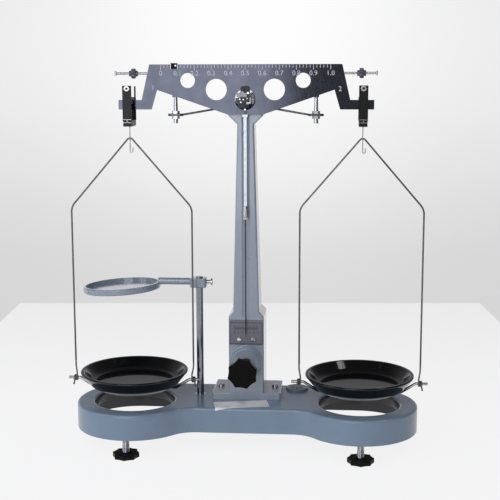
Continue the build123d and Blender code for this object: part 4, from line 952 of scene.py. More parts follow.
@dataclass(frozen=True)
class Stone(Finish):
    """Polished agate: soft bands of two tones with a milky depth."""

    band: Colour = (0.3, 0.25, 0.23)
    band_size: float = 1.6

    def paint(self, pattern: Pattern) -> None:
        """Draws the bands from stretched noise."""
        bands = pattern.spots(self.band_size, 5, 0.35, 0.65, stretch=(1, 4, 1))
        pattern.drive("Base Color", pattern.blend(bands, self.colour, self.band))
        pattern.roughen(bands, 0, 1, self.roughness, self.roughness + 0.05)
        pattern.plain(Subsurface_Weight=0.15, Subsurface_Scale=0.001, Coat_Weight=0.5)


@dataclass(frozen=True)
class Glass(Finish):
    """Clear glass with faint wipe marks."""

    bend: float = 1.45
    wipe_size: float = 4.0

    def paint(self, pattern: Pattern) -> None:
        """Adds wipe marks to a clear body."""
        wipe = pattern.grain(self.wipe_size, 3, (1, 3, 1))
        pattern.roughen(wipe, 0.4, 0.7, self.roughness, self.roughness + 0.05)
        pattern.drive("Base Color", pattern.blend(wipe, self.colour, self.shade(0.96)))
        pattern.plain(Transmission_Weight=1.0, IOR=self.bend)


@dataclass(frozen=True)
class Paper(Finish):
    """Blank paper label: faint fibres, a slight yellowing and a soft crease or two."""

    aged: Colour = tone(198, 198, 196)
    fibre_size: float = 0.7
    fibre_depth: float = 0.02
    age_size: float = 17.0
    crease_size: float = 12.0
    crease_depth: float = 0.3

    def paint(self, pattern: Pattern) -> None:
        """Adds fibres, ageing and creases."""
        fibres = pattern.grain(self.fibre_size, 4, (3, 1, 1))
        body = pattern.blend(pattern.spots(self.age_size, 3, 0.45, 0.75, seed=9), self.colour,
                             self.aged)
        body = pattern.blend(pattern.span(fibres, 0.3, 0.8, 0, 0.3), body, self.shade(0.88))
        pattern.drive("Base Color", body)
        pattern.roughen(fibres, 0.3, 0.7, self.roughness - 0.06, self.roughness + 0.06)
        creases = pattern.grain(self.crease_size, 1, (1, 3, 1), seed=2)
        pattern.relief([(creases, self.crease_depth), (fibres, self.fibre_depth)])


class Finishes(Enum):
    """Every finish of the balance."""

    # its edge factor lightens the edges for wear and as a painted highlight
    CAST_PAINT = CastingEnamel("cast_paint", tone(122, 141, 162), 0.36, coat=0.5, edge=1.3,
                               specular=0.35)
    COLUMN_PAINT = Enamel("column_paint", tone(140, 149, 163), 0.3, coat=1.0)
    TRAY_PAINT = Enamel("tray_paint", tone(134, 145, 160), 0.22, coat=1.0)
    LEVEL_PAINT = Enamel("level_paint", tone(106, 117, 132), 0.4, coat=0.2, edge=0.8)
    BLACK_ENAMEL = Enamel("black_enamel", tone(14, 13, 13), 0.42, peel=0.006, coat=0.1, edge=2.0,
                          specular=0.2)
    NUT_ENAMEL = Enamel("nut_enamel", tone(62, 68, 84), 0.3, peel=0.006, edge=1.8)
    SCALE_ENAMEL = Enamel("scale_enamel", tone(104, 102, 114), 0.36, peel=0.004, coat=0.2,
                          edge=0.7)
    BEAM_BLACK = Blackened("beam_black", (0.067, 0.069, 0.086), 0.09)
    PAN_LACQUER = Lacquer("pan_lacquer", JET, 0.05, ripple=0.008, haze=0.05,
                          edge=1.2, specular=0.4, dull_below=68.0)
    KNOB_PLASTIC = Lacquer("knob_plastic", JET, 0.3, ripple=0.01, haze=0.12,
                           edge=3.0, soften=0.5, specular=0.08)
    FOOT_PLASTIC = Lacquer("foot_plastic", JET, 0.4, ripple=0.02, haze=0.2,
                           soften=0.4, specular=0.12)
    CHROME = Metal("chrome", (0.5, 0.5, 0.53), 0.06, depth=0.001, tarnish=0.85, spread=0.04)
    BRIGHT_STEEL = Metal("bright_steel", (0.6, 0.6, 0.63), 0.24)
    SATIN_STEEL = Metal("satin_steel", (0.74, 0.74, 0.77), 0.5)
    POST_STEEL = Metal("post_steel", (0.28, 0.285, 0.31), 0.1, depth=0.001, stretch=(1, 1, 8))
    WIRE_STEEL = Metal("wire_steel", OLD_STEEL, 0.26, grain_size=0.3, tarnish=0.7)
    # the ring under the pan is darkened below its height as painted shade
    CARRIER_STEEL = Metal("carrier_steel", OLD_STEEL, 0.3, grain_size=0.3, tarnish=0.7,
                          dark_below=68.0)
    BOW_STEEL = Metal("bow_steel", (0.16, 0.155, 0.155), 0.3, grain_size=0.3, tarnish=0.7)
    BAR_STEEL = Metal("bar_steel", (0.56, 0.58, 0.6), 0.34, stretch=(1, 1, 18), dark_above=380.6)
    NEEDLE_STEEL = Metal("needle_steel", (0.04, 0.04, 0.045), 0.4)
    ARM_STEEL = Metal("arm_steel", (0.1, 0.1, 0.11), 0.32, stretch=(14, 1, 1))
    ALLOY = Metal("alloy", (0.62, 0.62, 0.65), 0.28, stretch=(1, 1, 6))
    CLAMP_ALLOY = Metal("clamp_alloy", (0.3, 0.29, 0.31), 0.45, stretch=(1, 1, 6))
    DARK_ALLOY = Metal("dark_alloy", (0.035, 0.035, 0.04), 0.3)
    BRONZE = Metal("bronze", (0.56, 0.42, 0.22), 0.3, tarnish=0.6)
    AGATE = Stone("agate", (0.5, 0.44, 0.41), 0.08)
    VIAL_GLASS = Glass("vial_glass", (0.96, 0.98, 0.96), 0.02)
    LABEL_PAPER = Paper("label_paper", tone(250, 250, 253), 0.5)
    ENGRAVING = Lacquer("engraving_white", tone(188, 188, 200), 0.5, ripple=0.0, haze=0.1,
                        edge=1.0, soften=0.0)
    SCALE_INK = Lacquer("scale_ink", tone(46, 43, 52), 0.5, ripple=0.0, haze=0.1, edge=1.0,
                        soften=0.0)
    LEVEL_OIL = Lacquer("level_oil", tone(112, 124, 136), 0.25, ripple=0.004, haze=0.04)


# ------------------------------------------------------------------ the bench
@dataclass
class Bench:
    """The loaded frame, and the count of what was put on it."""

    frame: dict
    pieces: int = 0

    def dress(self, finish: Finishes, *nodes: str) -> None:
        """Gives CAD nodes a finish.

        Args:
            finish: The finish.
            *nodes: Names of the nodes.
        """
        for node in nodes:
            slots = self.frame["nodes"][node].data.materials
            slots.clear()
            slots.append(finish.value.material())
            LOG.info("dressed %s in %s", node, finish.value.name)

    def add(self, name: str, surfaces: Sequence[Surface], body: str, slot: str, finish: Finishes,
            stands_for: Sequence[str] = (), crease: float = 40) -> bpy.types.Object:
        """Makes a piece from surfaces and puts it on its body.

        Args:
            name: Name of the piece.
            surfaces: Its surfaces in millimetres.
            body: Body that it moves with.
            slot: Material slot of the record that it belongs to.
            finish: The finish.
            stands_for: Nodes that it is shown instead of.
            crease: Angle in degrees past which an edge stays sharp.

        Returns:
            The new object.
        """
        return self.place(name, mesh_of(name, surfaces, crease), body, slot, finish, stands_for)

    def place(self, name: str, mesh: bpy.types.Mesh, body: str, slot: str, finish: Finishes,
              stands_for: Sequence[str] = ()) -> bpy.types.Object:
        """Puts a finished mesh on its body.

        Args:
            name: Name of the piece.
            mesh: Its mesh in metres.
            body: Body that it moves with.
            slot: Material slot of the record that it belongs to; not used.
            finish: The finish.
            stands_for: Nodes that it is shown instead of.

        Returns:
            The new object.
        """
        mesh.materials.append(finish.value.material())
        piece = bpy.data.objects.new(name, mesh)
        bpy.context.scene.collection.objects.link(piece)
        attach(piece, body)
        if stands_for:
            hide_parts(*stands_for)
        self.pieces += 1
        LOG.info("made %s on %s: %d faces, %s", name, body, len(mesh.polygons), finish.value.name)
        return piece


# ------------------------------------------------------------------ sub-assemblies
@dataclass
class Base:
    """Hollow double-lobed casting with its feet, label and round level."""

    top: float = 51.5
    foot_x: float = 131.3
    foot_y: float = -55.0
    screw_radius: float = 4.1
    screw_low: float = 1.5
    screw_high: float = 39.5
    thread_pitch: float = 1.25
    thread_depth: float = 0.3
    wheel_thick: float = 6.0
    collar_gap: float = 0.1
    collar_wide: float = 2.6
    collar_flare: float = 0.8
    collar_sunk: float = 0.6
    collar_proud: float = 0.5
    collar_round: float = 0.3
    level_x: float = 57.1
    level_y: float = 50.0
    oil_radius: float = 6.6
    oil_top: float = 52.75
    oil_deep: float = 0.35
    oil_rounds: tuple[float, float] = (0.1, 0.12)
    target_radius: float = 2.9
    target_wire: float = 0.16
    target_rise: float = 0.05
    bubble_shift: float = 0.5
    bubble_radius: float = 2.1
    bubble_half: float = 0.24
    bubble_rise: float = 0.12
    edge_y: float = -28.7
    edge_radius: float = 3.0
    label_x: float = -5.0
    label_y: float = -13.1
    label_half: float = 31.0
    label_back: float = 9.5
    label_front: float = -14.3
    label_turn: float = 11.5
    label_thick: float = 0.3
    label_cells: tuple[int, int] = (40, 30)

    def build(self, bench: Bench) -> None:
        """Dresses the casting and makes the feet, the label and the level."""
        bench.dress(Finishes.CAST_PAINT, "base_casting")
        bench.dress(Finishes.BRONZE, "foot_bushes")
        bench.dress(Finishes.FOOT_PLASTIC, "rear_foot", "left_foot_knob", "right_foot_knob")
        bench.dress(Finishes.LEVEL_PAINT, "level_housing")
        bench.dress(Finishes.VIAL_GLASS, "level_glass")
        self.label(bench)
        self.level(bench)
        for side in Side:
            self.foot(bench, side)

    def foot(self, bench: Bench, side: Side) -> None:
        """Makes a threaded levelling screw and the collar on its wheel."""
        centre = (side.value * self.foot_x, self.foot_y, 0)
        screw = thread(self.screw_radius, self.thread_depth, self.thread_pitch, self.screw_low,
                       self.screw_high, Axis.Z, centre, segments=40)
        bench.add(f"{side.word}_levelling_screw", [screw], f"{side.word}_foot", "bare_steel",
                  Finishes.CHROME, [f"{side.word}_foot_screw"], crease=60)
        low, high = self.wheel_thick - self.collar_sunk, self.wheel_thick + self.collar_proud
        inner, outer = self.screw_radius + self.collar_gap, self.screw_radius + self.collar_wide
        collar = rounded([(inner, low), (outer + self.collar_flare, low), (outer, high),
                          (inner, high)], [0, self.collar_round])
        bench.add(f"{side.word}_wheel_collar", [turned(collar, Axis.Z, centre, 64, True)],
                  f"{side.word}_foot_wheel", "black_plastic", Finishes.FOOT_PLASTIC)

    def label(self, bench: Bench) -> None:
        """Makes the bare label, whose front edge is pressed down over the rounded edge."""
        columns, rows = self.label_cells
        along = np.linspace(-self.label_half, self.label_half, columns + 1)[:, None]
        across = np.linspace(self.label_back, self.label_front, rows + 1)[None]
        turn = math.radians(self.label_turn)
        x = self.label_x + along * math.cos(turn) - across * math.sin(turn)
        y = self.label_y + along * math.sin(turn) + across * math.cos(turn)
        upper, middle, under = (self.pressed(x, y, h) for h in (self.label_thick,
                                                                self.label_thick / 2, 0.0))
        skin = np.concatenate([upper, under[:, ::-1]], axis=1)
        ends = np.concatenate([middle, middle[:, ::-1]], axis=1)
        bench.add("plain_label", [Surface(np.concatenate([ends[:1], skin, ends[-1:]]))], "base",
                  "label_white", Finishes.LABEL_PAPER, ["base_label"])

    def pressed(self, x: Array, y: Array, height: float) -> Array:
        """Lays flat points on the top of the base and round its front edge.

        Past the start of the edge's curve a point moves on along an arc about the curve's middle:
        y = e - (R + h) sin(s / R) and z = top - R + (R + h) cos(s / R), where s is how far it is
        past the start e.

        Args:
            x: Places along the base.
            y: Places across it, on the flat.
            height: Height above its surface.

        Returns:
            The points.
        """
        angle = np.clip((self.edge_y - y) / self.edge_radius, 0, math.pi / 2)
        reach = self.edge_radius + height
        flat = np.maximum(y, self.edge_y)
        return np.stack([x, flat - reach * np.sin(angle),
                         self.top - self.edge_radius + reach * np.cos(angle)], -1)

    def level(self, bench: Bench) -> None:
        """Makes the liquid, the target ring and the bubble of the round level."""
        x, y, top = self.level_x, self.level_y, self.oil_top
        low = top - self.oil_deep
        oil = rounded([(0, low), (self.oil_radius, low), (self.oil_radius, top), (0, top)],
                      self.oil_rounds, 4)
        bench.add("level_oil", [turned(oil, Axis.Z, (x, y, 0), 64)], "base", "level_paint",
                  Finishes.LEVEL_OIL)
        target = ring((x, y, top + self.target_rise), self.target_radius, self.target_wire,
                      Axis.Z, 48, 8)
        bench.add("level_target", [target], "base", "black_paint", Finishes.SCALE_INK)
        swell = np.linspace(0, math.pi, 13)
        bubble = np.stack([self.bubble_radius * np.sin(swell),
                           top + self.bubble_rise - self.bubble_half * np.cos(swell)], 1)
        bench.add("level_bubble", [turned(bubble, Axis.Z, (x + self.bubble_shift, y, 0), 40)],
                  "base", "clear_glass", Finishes.ENGRAVING)


@dataclass
class Column:
    """Pillar with the arrest gear inside it and the scale plate on its face."""

    plate_front: float = 1.3
    plate_half: float = 19.3
    plate_low: float = 117.6
    plate_high: float = 146.4
    print_out: float = 0.03
    print_in: float = 0.05
    line_low: float = 135.2
    line_pitch: float = 1.1
    line_count: int = 25
    line_width: float = 0.48
    line_tall: float = 4.6
    line_short: float = 3.0
    figure_every: int = 4
    figure_z: float = 132.0
    figure_size: float = 4.2
    border_inset: float = 0.7
    border_low: float = 0.6
    border_high: float = 3.4
    border_tall: float = 0.7
    border_wide: float = 0.5
    knob_front: float = -53.5
    knob_z: float = 97.6
    bead_radius: float = 8.9
    bead_wire: float = 0.45
    bead_sunk: float = 0.15
    boss_steps: tuple[tuple[float, float], ...] = ((17.75, -2.9), (15.15, -5.85))
    boss_wire: float = 0.6

    def build(self, bench: Bench) -> None:
        """Dresses the column and makes the scale's lines, the boss rims and the knob's bead."""
        bench.dress(Finishes.COLUMN_PAINT, "pillar", "rear_cover")
        bench.dress(Finishes.CHROME, "pillar_screws", "small_screws")
        bench.dress(Finishes.BRONZE, "rod_guides", "shaft_bush")
        bench.dress(Finishes.BRIGHT_STEEL, "cam_shaft", "lift_rod")
        bench.dress(Finishes.SCALE_ENAMEL, "scale_plate")
        bench.dress(Finishes.KNOB_PLASTIC, "arrest_knob")
        self.scale_lines(bench)
        self.boss_rims(bench)
        self.knob_bead(bench)

    def scale_lines(self, bench: Bench) -> None:
        """Makes the pointer's divisions, the border of the scale plate and its numbers."""
        number = np.arange(self.line_count) - self.line_count // 2
        tall = np.where(number % self.figure_every == 0, self.line_tall, self.line_short)
        front, back = self.plate_front - self.print_out, self.plate_front + self.print_in
        lines = marks(number * self.line_pitch - self.line_width / 2, self.line_width, front, back,
                      self.line_low, self.line_low + tall)
        half, wide = self.plate_half - self.border_inset, self.border_wide
        low, high = self.plate_low + self.border_low, self.plate_high - self.border_high
        edges = [((-half, high), (half, high + self.border_tall)),
                 ((-half, low), (half, low + self.border_tall)),
                 ((-half, low), (wide - half, high)), ((half - wide, low), (half, high))]
        border = bars(np.array([(x, front, z) for (x, z), _ in edges]),
                      np.array([(x, back, z) for _, (x, z) in edges]))
        bench.add("scale_lines", lines + border, "base", "scale_dark", Finishes.SCALE_INK)
        step = self.figure_every * self.line_pitch
        labels = [(str(abs(n)), n * step, self.figure_z, self.figure_size)
                  for n in (-3, -2, -1, 1, 2, 3)]
        bench.place("scale_figures", numbers("scale_figures", labels, self.plate_front), "base",
                    "scale_dark", Finishes.SCALE_INK)

    def boss_rims(self, bench: Bench) -> None:
        """Makes the rounded rims of the two steps of the boss behind the arrest knob."""
        rims = [ring((0, y, self.knob_z), reach, self.boss_wire, Axis.Y, 96, 14)
                for reach, y in self.boss_steps]
        bench.add("boss_rims", rims, "base", "base_paint", Finishes.TRAY_PAINT)

    def knob_bead(self, bench: Bench) -> None:
        """Makes the low bead that runs round the face of the arrest knob."""
        bead = ring((0, self.knob_front + self.bead_sunk, self.knob_z), self.bead_radius,
                    self.bead_wire, Axis.Y, 72, 10)
        bench.add("arrest_knob_bead", [bead], "arrest_shaft", "black_plastic",
                  Finishes.KNOB_PLASTIC)


@dataclass
class Bearing:
    """Lift rod with the head that carries the middle bearings, and the rest arms."""

    def build(self, bench: Bench) -> None:
        """Dresses the bearing head and the rest arms."""
        bench.dress(Finishes.BLACK_ENAMEL, "bearing_head")
        bench.dress(Finishes.AGATE, "centre_bearings")
        bench.dress(Finishes.SATIN_STEEL, "bearing_guards")
        bench.dress(Finishes.CHROME, "bearing_rivets")
        bench.dress(Finishes.DARK_ALLOY, "bearing_end_plate")
        bench.dress(Finishes.ARM_STEEL, "rest_arms")
        bench.dress(Finishes.BRIGHT_STEEL, "rest_pins")
        bench.dress(Finishes.WIRE_STEEL, "rest_pin_nuts")


@dataclass
class Beam:
    """Beam plate with its rider scale, knives, balance screws and rider."""

    front: float = -0.9
    top: float = 435.6
    scale_half: float = 94.0
    divisions: int = 50
    tick_width: float = 0.75
    tick_out: float = 0.04
    tick_in: float = 0.02
    tick_gap: float = 0.5
    long_every: int = 5
    short_low: float = 431.7
    long_low: float = 429.6
    figure_count: int = 11
    figure_z: float = 425.7
    figure_size: float = 7.4
    arm_figures: tuple[tuple[str, float, float, float], ...] = (("1", -102.9, 409.9, 7.6),
                                                                ("2", 104.6, 408.5, 7.6))
    rod_z: float = 425.6
    rod_start: float = 109.2
    rod_end: float = 145.5
    rod_radius: float = 1.5
    rod_depth: float = 0.2
    rod_pitch: float = 0.9
    tang_out: float = 7.0
    tang_in: float = 1.0
    tang_radius: float = 0.6
    head_thick: float = 1.8
    head_lap: float = 0.2
    head_radius: float = 2.6
    head_rounds: tuple[float, float] = (0.4, 0.5)
    head_flutes: int = 16
    head_flute: float = 0.35
    head_flute_from: float = 2.1
    left_nut_x: float = -124.495
    right_nut_x: float = 127.788
    nut_gap: float = 0.06
    nut_radius: float = 5.5
    nut_half: float = 2.5
    nut_flutes: int = 12
    nut_flute: float = 0.75
    nut_flute_from: float = 3.6
    nut_flute_run: float = 1.2
    hub_half: float = 4.9
    hub_radius: float = 3.2
    rider_x: float = -78.8
    rider_out: float = 1.4
    rider_screw_x: float = 1.6
    rider_screw_z: float = 434.2
    rider_screw_radius: float = 1.0
    rider_screw_out: float = 0.25
    rider_screw_round: float = 0.2
    cheek_left: tuple[float, float] = (-4.0, 3.6)
    cheek_width: float = 0.4
    cheek_out: float = 0.12
    cheek_low: float = 430.7
    cheek_high: float = 436.4
    trim_sunk: float = 0.3

    def build(self, bench: Bench) -> None:
        """Dresses the plate and its fittings and makes the scale, rods, nuts and rider trim."""
        bench.dress(Finishes.BEAM_BLACK, "beam_plate")
        bench.dress(Finishes.DARK_ALLOY, "knife_holder")
        bench.dress(Finishes.CLAMP_ALLOY, "knife_clamp")
        bench.dress(Finishes.CHROME, "knife_screws")
        bench.dress(Finishes.BRIGHT_STEEL, "centre_knife", "end_knives")
        bench.dress(Finishes.KNOB_PLASTIC, "rider")
        self.ticks(bench)
        self.figures(bench)
        self.rods(bench)
        self.nut(bench, Side.LEFT, self.left_nut_x)
        self.nut(bench, Side.RIGHT, self.right_nut_x)
        self.rider_trim(bench)

    def ticks(self, bench: Bench) -> None:
        """Makes the divisions along the top edge, every fifth one longer."""
        number = np.arange(self.divisions + 1)
        x = np.linspace(-self.scale_half, self.scale_half, len(number))
        low = np.where(number % self.long_every == 0, self.long_low, self.short_low)
        lines = marks(x - self.tick_width / 2, self.tick_width, self.front - self.tick_out,
                      self.front + self.tick_in, low, self.top - self.tick_gap)
        bench.add("beam_divisions", lines, "beam", "label_white", Finishes.ENGRAVING)

    def figures(self, bench: Bench) -> None:
        """Makes the numbers of the rider scale and of the two arms."""
        places = np.linspace(-self.scale_half, self.scale_half, self.figure_count).tolist()
        labels = [(f"{n / 10:.1f}" if n else "0", x, self.figure_z, self.figure_size)
                  for n, x in enumerate(places)]
        labels += self.arm_figures
        bench.place("beam_figures", numbers("beam_figures", labels, self.front), "beam",
                    "label_white", Finishes.ENGRAVING)

    def rods(self, bench: Bench) -> None:
        """Makes the threaded rods with their tangs and milled heads."""
        start, end, near = self.rod_start, self.rod_end, self.rod_end - self.head_thick
        centre = (0, 0, self.rod_z)
        rod = thread(self.rod_radius, self.rod_depth, self.rod_pitch, start, near + self.head_lap,
                     Axis.X, centre)
        tang = tube(np.array([[start - self.tang_out, 0, self.rod_z],
                              [start + self.tang_in, 0, self.rod_z]]), self.tang_radius,
                    (0, 0, 1), 12)
        head = rounded([(0, near), (self.head_radius, near), (self.head_radius, end), (0, end)],
                       self.head_rounds, 4)
        cap = turned(head, Axis.X, centre, 48, flutes=self.head_flutes,
                     flute_depth=self.head_flute,
                     fluted=lambda p: (p[:, 0] > self.head_flute_from).astype(float))
        surfaces = [part.on(side) for side in Side for part in (rod, tang, cap)]
        bench.add("balance_rods", surfaces, "beam", "light_alloy", Finishes.ALLOY,
                  ["adjusting_rods"], crease=60)

    def nut(self, bench: Bench, side: Side, x: float) -> None:
        """Makes a milled balance nut with a hub on each side.

        Args:
            bench: The bench.
            side: Which nut it is.
            x: Its middle along the beam.
        """
        bore = self.rod_radius + self.nut_gap
        half, hub, neck, rim = self.nut_half, self.hub_half, self.hub_radius, self.nut_radius
        outline = rounded([(bore, -hub), (neck, -hub), (neck, -half), (rim, -half), (rim, half),
                           (neck, half), (neck, hub), (bore, hub)],
                          [0.5, 0.3, 1.1, 1.1, 0.3, 0.5], 5)
        wheel = turned(outline, Axis.X, (x, 0, self.rod_z), 120, True, flutes=self.nut_flutes,
                       flute_depth=self.nut_flute,
                       fluted=lambda p: np.clip((p[:, 0] - self.nut_flute_from)
                                                / self.nut_flute_run, 0, 1))
        bench.add(f"{side.word}_balance_nut", [wheel], f"{side.word}_nut", "black_paint",
                  Finishes.NUT_ENAMEL, [f"{side.word}_adjusting_nut"], crease=50)

    def rider_trim(self, bench: Bench) -> None:
        """Makes the bright screw and the two bright cheeks of the rider."""
        face = self.front - self.rider_out
        near, far = face - self.rider_screw_out, face + self.trim_sunk
        reach = self.rider_screw_radius
        head = rounded([(0, near), (reach, near), (reach, far), (0, far)],
                       [self.rider_screw_round, 0], 4)
        screw = turned(head, Axis.Y, (self.rider_x + self.rider_screw_x, 0, self.rider_screw_z),
                       32)
        cheeks = marks(self.rider_x + np.array(self.cheek_left), self.cheek_width,
                       face - self.cheek_out, far, self.cheek_low, self.cheek_high)
        bench.add("rider_trim", [screw, *cheeks], "beam_rider", "bare_steel", Finishes.CHROME)


@dataclass
class Pointer:
    """Flat bar, needle and sensitivity weight in front of the column."""

    y: float = -2.4
    weight_low: float = 263.4
    weight_length: float = 15.0
    weight_radius: float = 3.1
    weight_bore: float = 2.34
    weight_round: float = 0.4
    groove: tuple[float, ...] = (2.6, 2.8, 3.4, 3.6)
    groove_depth: float = 0.35

    def build(self, bench: Bench) -> None:
        """Dresses the bar and needle and makes the weight with a groove near each end."""
        bench.dress(Finishes.BAR_STEEL, "pointer_bar")
        bench.dress(Finishes.CHROME, "pointer_screws")
        bench.dress(Finishes.NEEDLE_STEEL, "pointer_needle")
        low, high = self.weight_low, self.weight_low + self.weight_length
        outer, bore = self.weight_radius, self.weight_bore
        inner = outer - self.groove_depth
        steps = list(zip((outer, inner, inner, outer), self.groove))
        corners = [(bore, low), (outer, low), *((reach, low + step) for reach, step in steps),
                   *((reach, high - step) for reach, step in reversed(steps)), (outer, high),
                   (bore, high)]
        sharp = [0.0] * (2 * len(steps))
        outline = rounded(corners, [self.weight_round, *sharp, self.weight_round], 5)
        bench.add("pointer_weight_body", [turned(outline, Axis.Z, (0, self.y, 0), 64, True)],
                  "pointer_weight", "polished_steel", Finishes.CHROME, ["sensitivity_weight"])


@dataclass
class HangingSet:
    """Everything that hangs from one end knife: stirrup, hook, bow, carrier and pan."""

    side: Side
    arm: float = 130.0
    pin_z: float = 370.5
    bow_z: float = 354.0
    pin_eye: float = 1.43
    bow_eye: float = 1.63
    hook_wire: float = 0.6
    eye_wire: float = 0.55
    hook_drop: float = 16.0
    hook_wide: float = 3.0
    hook_rise: float = 5.3
    hook_round: float = 1.49
    bow_wire: float = 1.0
    bow_half: float = 69.0
    shoulder_z: float = 276.0
    apex_z: float = 356.13
    bow_foot: float = 21.0
    shoulder_round: float = 16.0
    apex_round: float = 4.0
    ear_z: float = 75.5
    coil_reach: float = 2.7
    coil_wire: float = 0.92
    coil_half: float = 1.7
    coil_turns: int = 2
    leg_rises: tuple[float, ...] = (22.0, 15.0, 6.0, 0.3)
    leg_rounds: tuple[float, float] = (14.0, 8.0)
    tail_drops: tuple[float, ...] = (0.3, 3.5, 7.4)
    tail_splay: float = 0.9
    tail_round: float = 4.0
    carrier_arm: float = 1.7
    carrier_wire: float = 1.5
    carrier_ring: float = 34.0
    carrier_z: float = 65.5
    carrier_bends: tuple[float, float] = (48.0, 64.0)
    carrier_round: float = 5.0
    carrier_tip: float = 77.2
    carrier_dome: float = 0.45
    pan_low: float = 67.5
    pan_rim: float = 86.3
    pan_floor: float = 74.1
    pan_reach: float = 63.3
    pan_mouth: float = 58.14
    pan_corner: float = 48.21
    pan_base: float = 48.0
    pan_rounds: tuple[float, ...] = (0.8, 0.6, 16.0, 1.2, 1.2, 12.0)
    foot_reach: float = 29.0
    foot_depth: float = 2.6
    seam_half: float = 4.5
    seam_tall: float = 0.45
    seam_out: float = 0.12
    seam_sunk: float = 0.3
    seams: tuple[float, float] = (375.2, 371.8)
    split_half: float = 0.25
    stirrup_face: float = 14.5
    bolt_z: float = 409.3
    bolt_face: float = -15.7
    dimple_radius: float = 0.75
    dimple_wire: float = 0.65

    def build(self, bench: Bench) -> None:
        """Dresses the stirrup and makes the wires and the pan."""
        word = self.side.word
        bench.dress(Finishes.BLACK_ENAMEL, f"{word}_stirrup")
        bench.dress(Finishes.AGATE, f"{word}_stirrup_bearings")
        bench.dress(Finishes.WIRE_STEEL, f"{word}_stirrup_pins")
        self.shoe(bench)
        self.hook(bench)
        self.bow(bench)
        self.carrier(bench)
        self.pan(bench)

    def hang(self, bench: Bench, name: str, surfaces: Sequence[Surface], body: str, slot: str,
             finish: Finishes, stands_for: Sequence[str] = (), crease: float = 40) -> None:
        """Moves surfaces drawn at X = 0 under the end knife and adds them to this side.

        Args:
            bench: The bench.
            name: Name of the piece, without its side.
            surfaces: Its surfaces in millimetres.
            body: Body that it moves with, without its side.
            slot: Material slot of the record that it belongs to.
            finish: The finish.
            stands_for: Nodes that it is shown instead of, without their side.
            crease: Angle in degrees past which an edge stays sharp.
        """
        word, x = self.side.word, self.side.value * self.arm
        bench.add(f"{word}_{name}", [s.moved(x) for s in surfaces], f"{word}_{body}", slot, finish,
                  [f"{word}_{node}" for node in stands_for], crease)

    def shoe(self, bench: Bench) -> None:
        """Makes the bright seams at the stirrup's lower end, and a dark ring on its bolt as the
        painted shade of a dimple.
        """
        half, tall = self.seam_half, self.seam_tall
        near, far = -self.stirrup_face - self.seam_out, -self.stirrup_face + self.seam_sunk
        boxes = [((-half, front, z), (half, back, z + tall)) for z in self.seams
                 for front, back in ((near, far), (-far, -near))]
        boxes.append(((-self.split_half, near, self.seams[1]),
                      (self.split_half, far, self.seams[0])))
        low, high = (np.array(corners) for corners in zip(*boxes))
        self.hang(bench, "shoe_seams", bars(low, high), "stirrup_set", "bare_steel",
                  Finishes.WIRE_STEEL)
        # a near-black ring paints the shade inside the bolt's dimple
        dimple = ring((0, self.bolt_face, self.bolt_z), self.dimple_radius, self.dimple_wire,
                      Axis.Y, 32, 12)
        self.hang(bench, "bolt_dimple", [dimple], "stirrup_set", "dark_steel",
                  Finishes.NEEDLE_STEEL)

    def hook(self, bench: Bench) -> None:
        """Makes the hook: an eye on the pin, an eye for the bow, and an open bend below."""
        wide, foot = self.hook_wide, self.bow_z - self.hook_drop
        drop = rounded([(0, 0, self.bow_z - self.bow_eye), (0, 0, foot), (wide, 0, foot),
                        (wide, 0, foot + self.hook_rise)], [self.hook_round] * 2, 10)
        shank = np.array([[0, 0, self.pin_z - self.pin_eye], [0, 0, self.bow_z + self.bow_eye]])
        wires = [ring((0, 0, self.pin_z), self.pin_eye, self.eye_wire, Axis.X, 40, 12),
                 ring((0, 0, self.bow_z), self.bow_eye, self.eye_wire, Axis.X, 40, 12),
                 tube(shank, self.hook_wire, (0, 1, 0), 14),
                 tube(drop, self.hook_wire, (0, 1, 0), 14)]
        self.hang(bench, "hook_bend", wires, "hook_wire", "bare_steel", Finishes.WIRE_STEEL,
                  ["hook"])

    def bow(self, bench: Bench) -> None:
        """Makes the bow: one wire over the hook, and a close coil with a tail at each ear."""
        half, foot = self.bow_half, self.ear_z + self.bow_foot
        crown = rounded([(-half, 0, foot), (-half, 0, self.shoulder_z), (0, 0, self.apex_z),
                         (half, 0, self.shoulder_z), (half, 0, foot)],
                        [self.shoulder_round, self.apex_round, self.shoulder_round], 14)
        wires = [tube(crown, self.bow_wire, (0, 1, 0), 16)]
        wires += [tube(self.coil(side.value), self.coil_wire, (1, 0, 0), 14) for side in Side]
        self.hang(bench, "bow_frame", wires, "bow_wire", "dark_steel", Finishes.BOW_STEEL,
                  ["bow"])

    def coil(self, end: int) -> Array:
        """Middle line of a leg's lower end, its coil round the ear and its tail.

        The coil is (x(t), -R cos a, Z - R sin a), where the angle a runs through all its turns
        and x moves evenly from the inner side of the ear to the outer side.

        Args:
            end: -1 for the left leg and 1 for the right one.

        Returns:
            Points of the line.
        """
        reach, z, leg = self.coil_reach, self.ear_z, end * self.bow_half
        inner, outer = leg - end * self.coil_half, leg + end * self.coil_half
        spots = ((leg, 0), (leg, 0), (inner, -reach), (inner, -reach))
        down = rounded([(x, y, z + rise) for (x, y), rise in zip(spots, self.leg_rises)],
                       self.leg_rounds, 8)
        sweep = self.coil_turns * FULL_TURN
        angle = np.linspace(0, sweep, 72)
        x = inner + (outer - inner) * angle / sweep
        turns = np.stack([x, -reach * np.cos(angle), z - reach * np.sin(angle)], 1)
        places = (outer, outer, outer + end * self.tail_splay)
        tail = rounded([(x, -reach, z - drop) for x, drop in zip(places, self.tail_drops)],
                       [self.tail_round], 6)
        return np.concatenate([down, turns, tail])

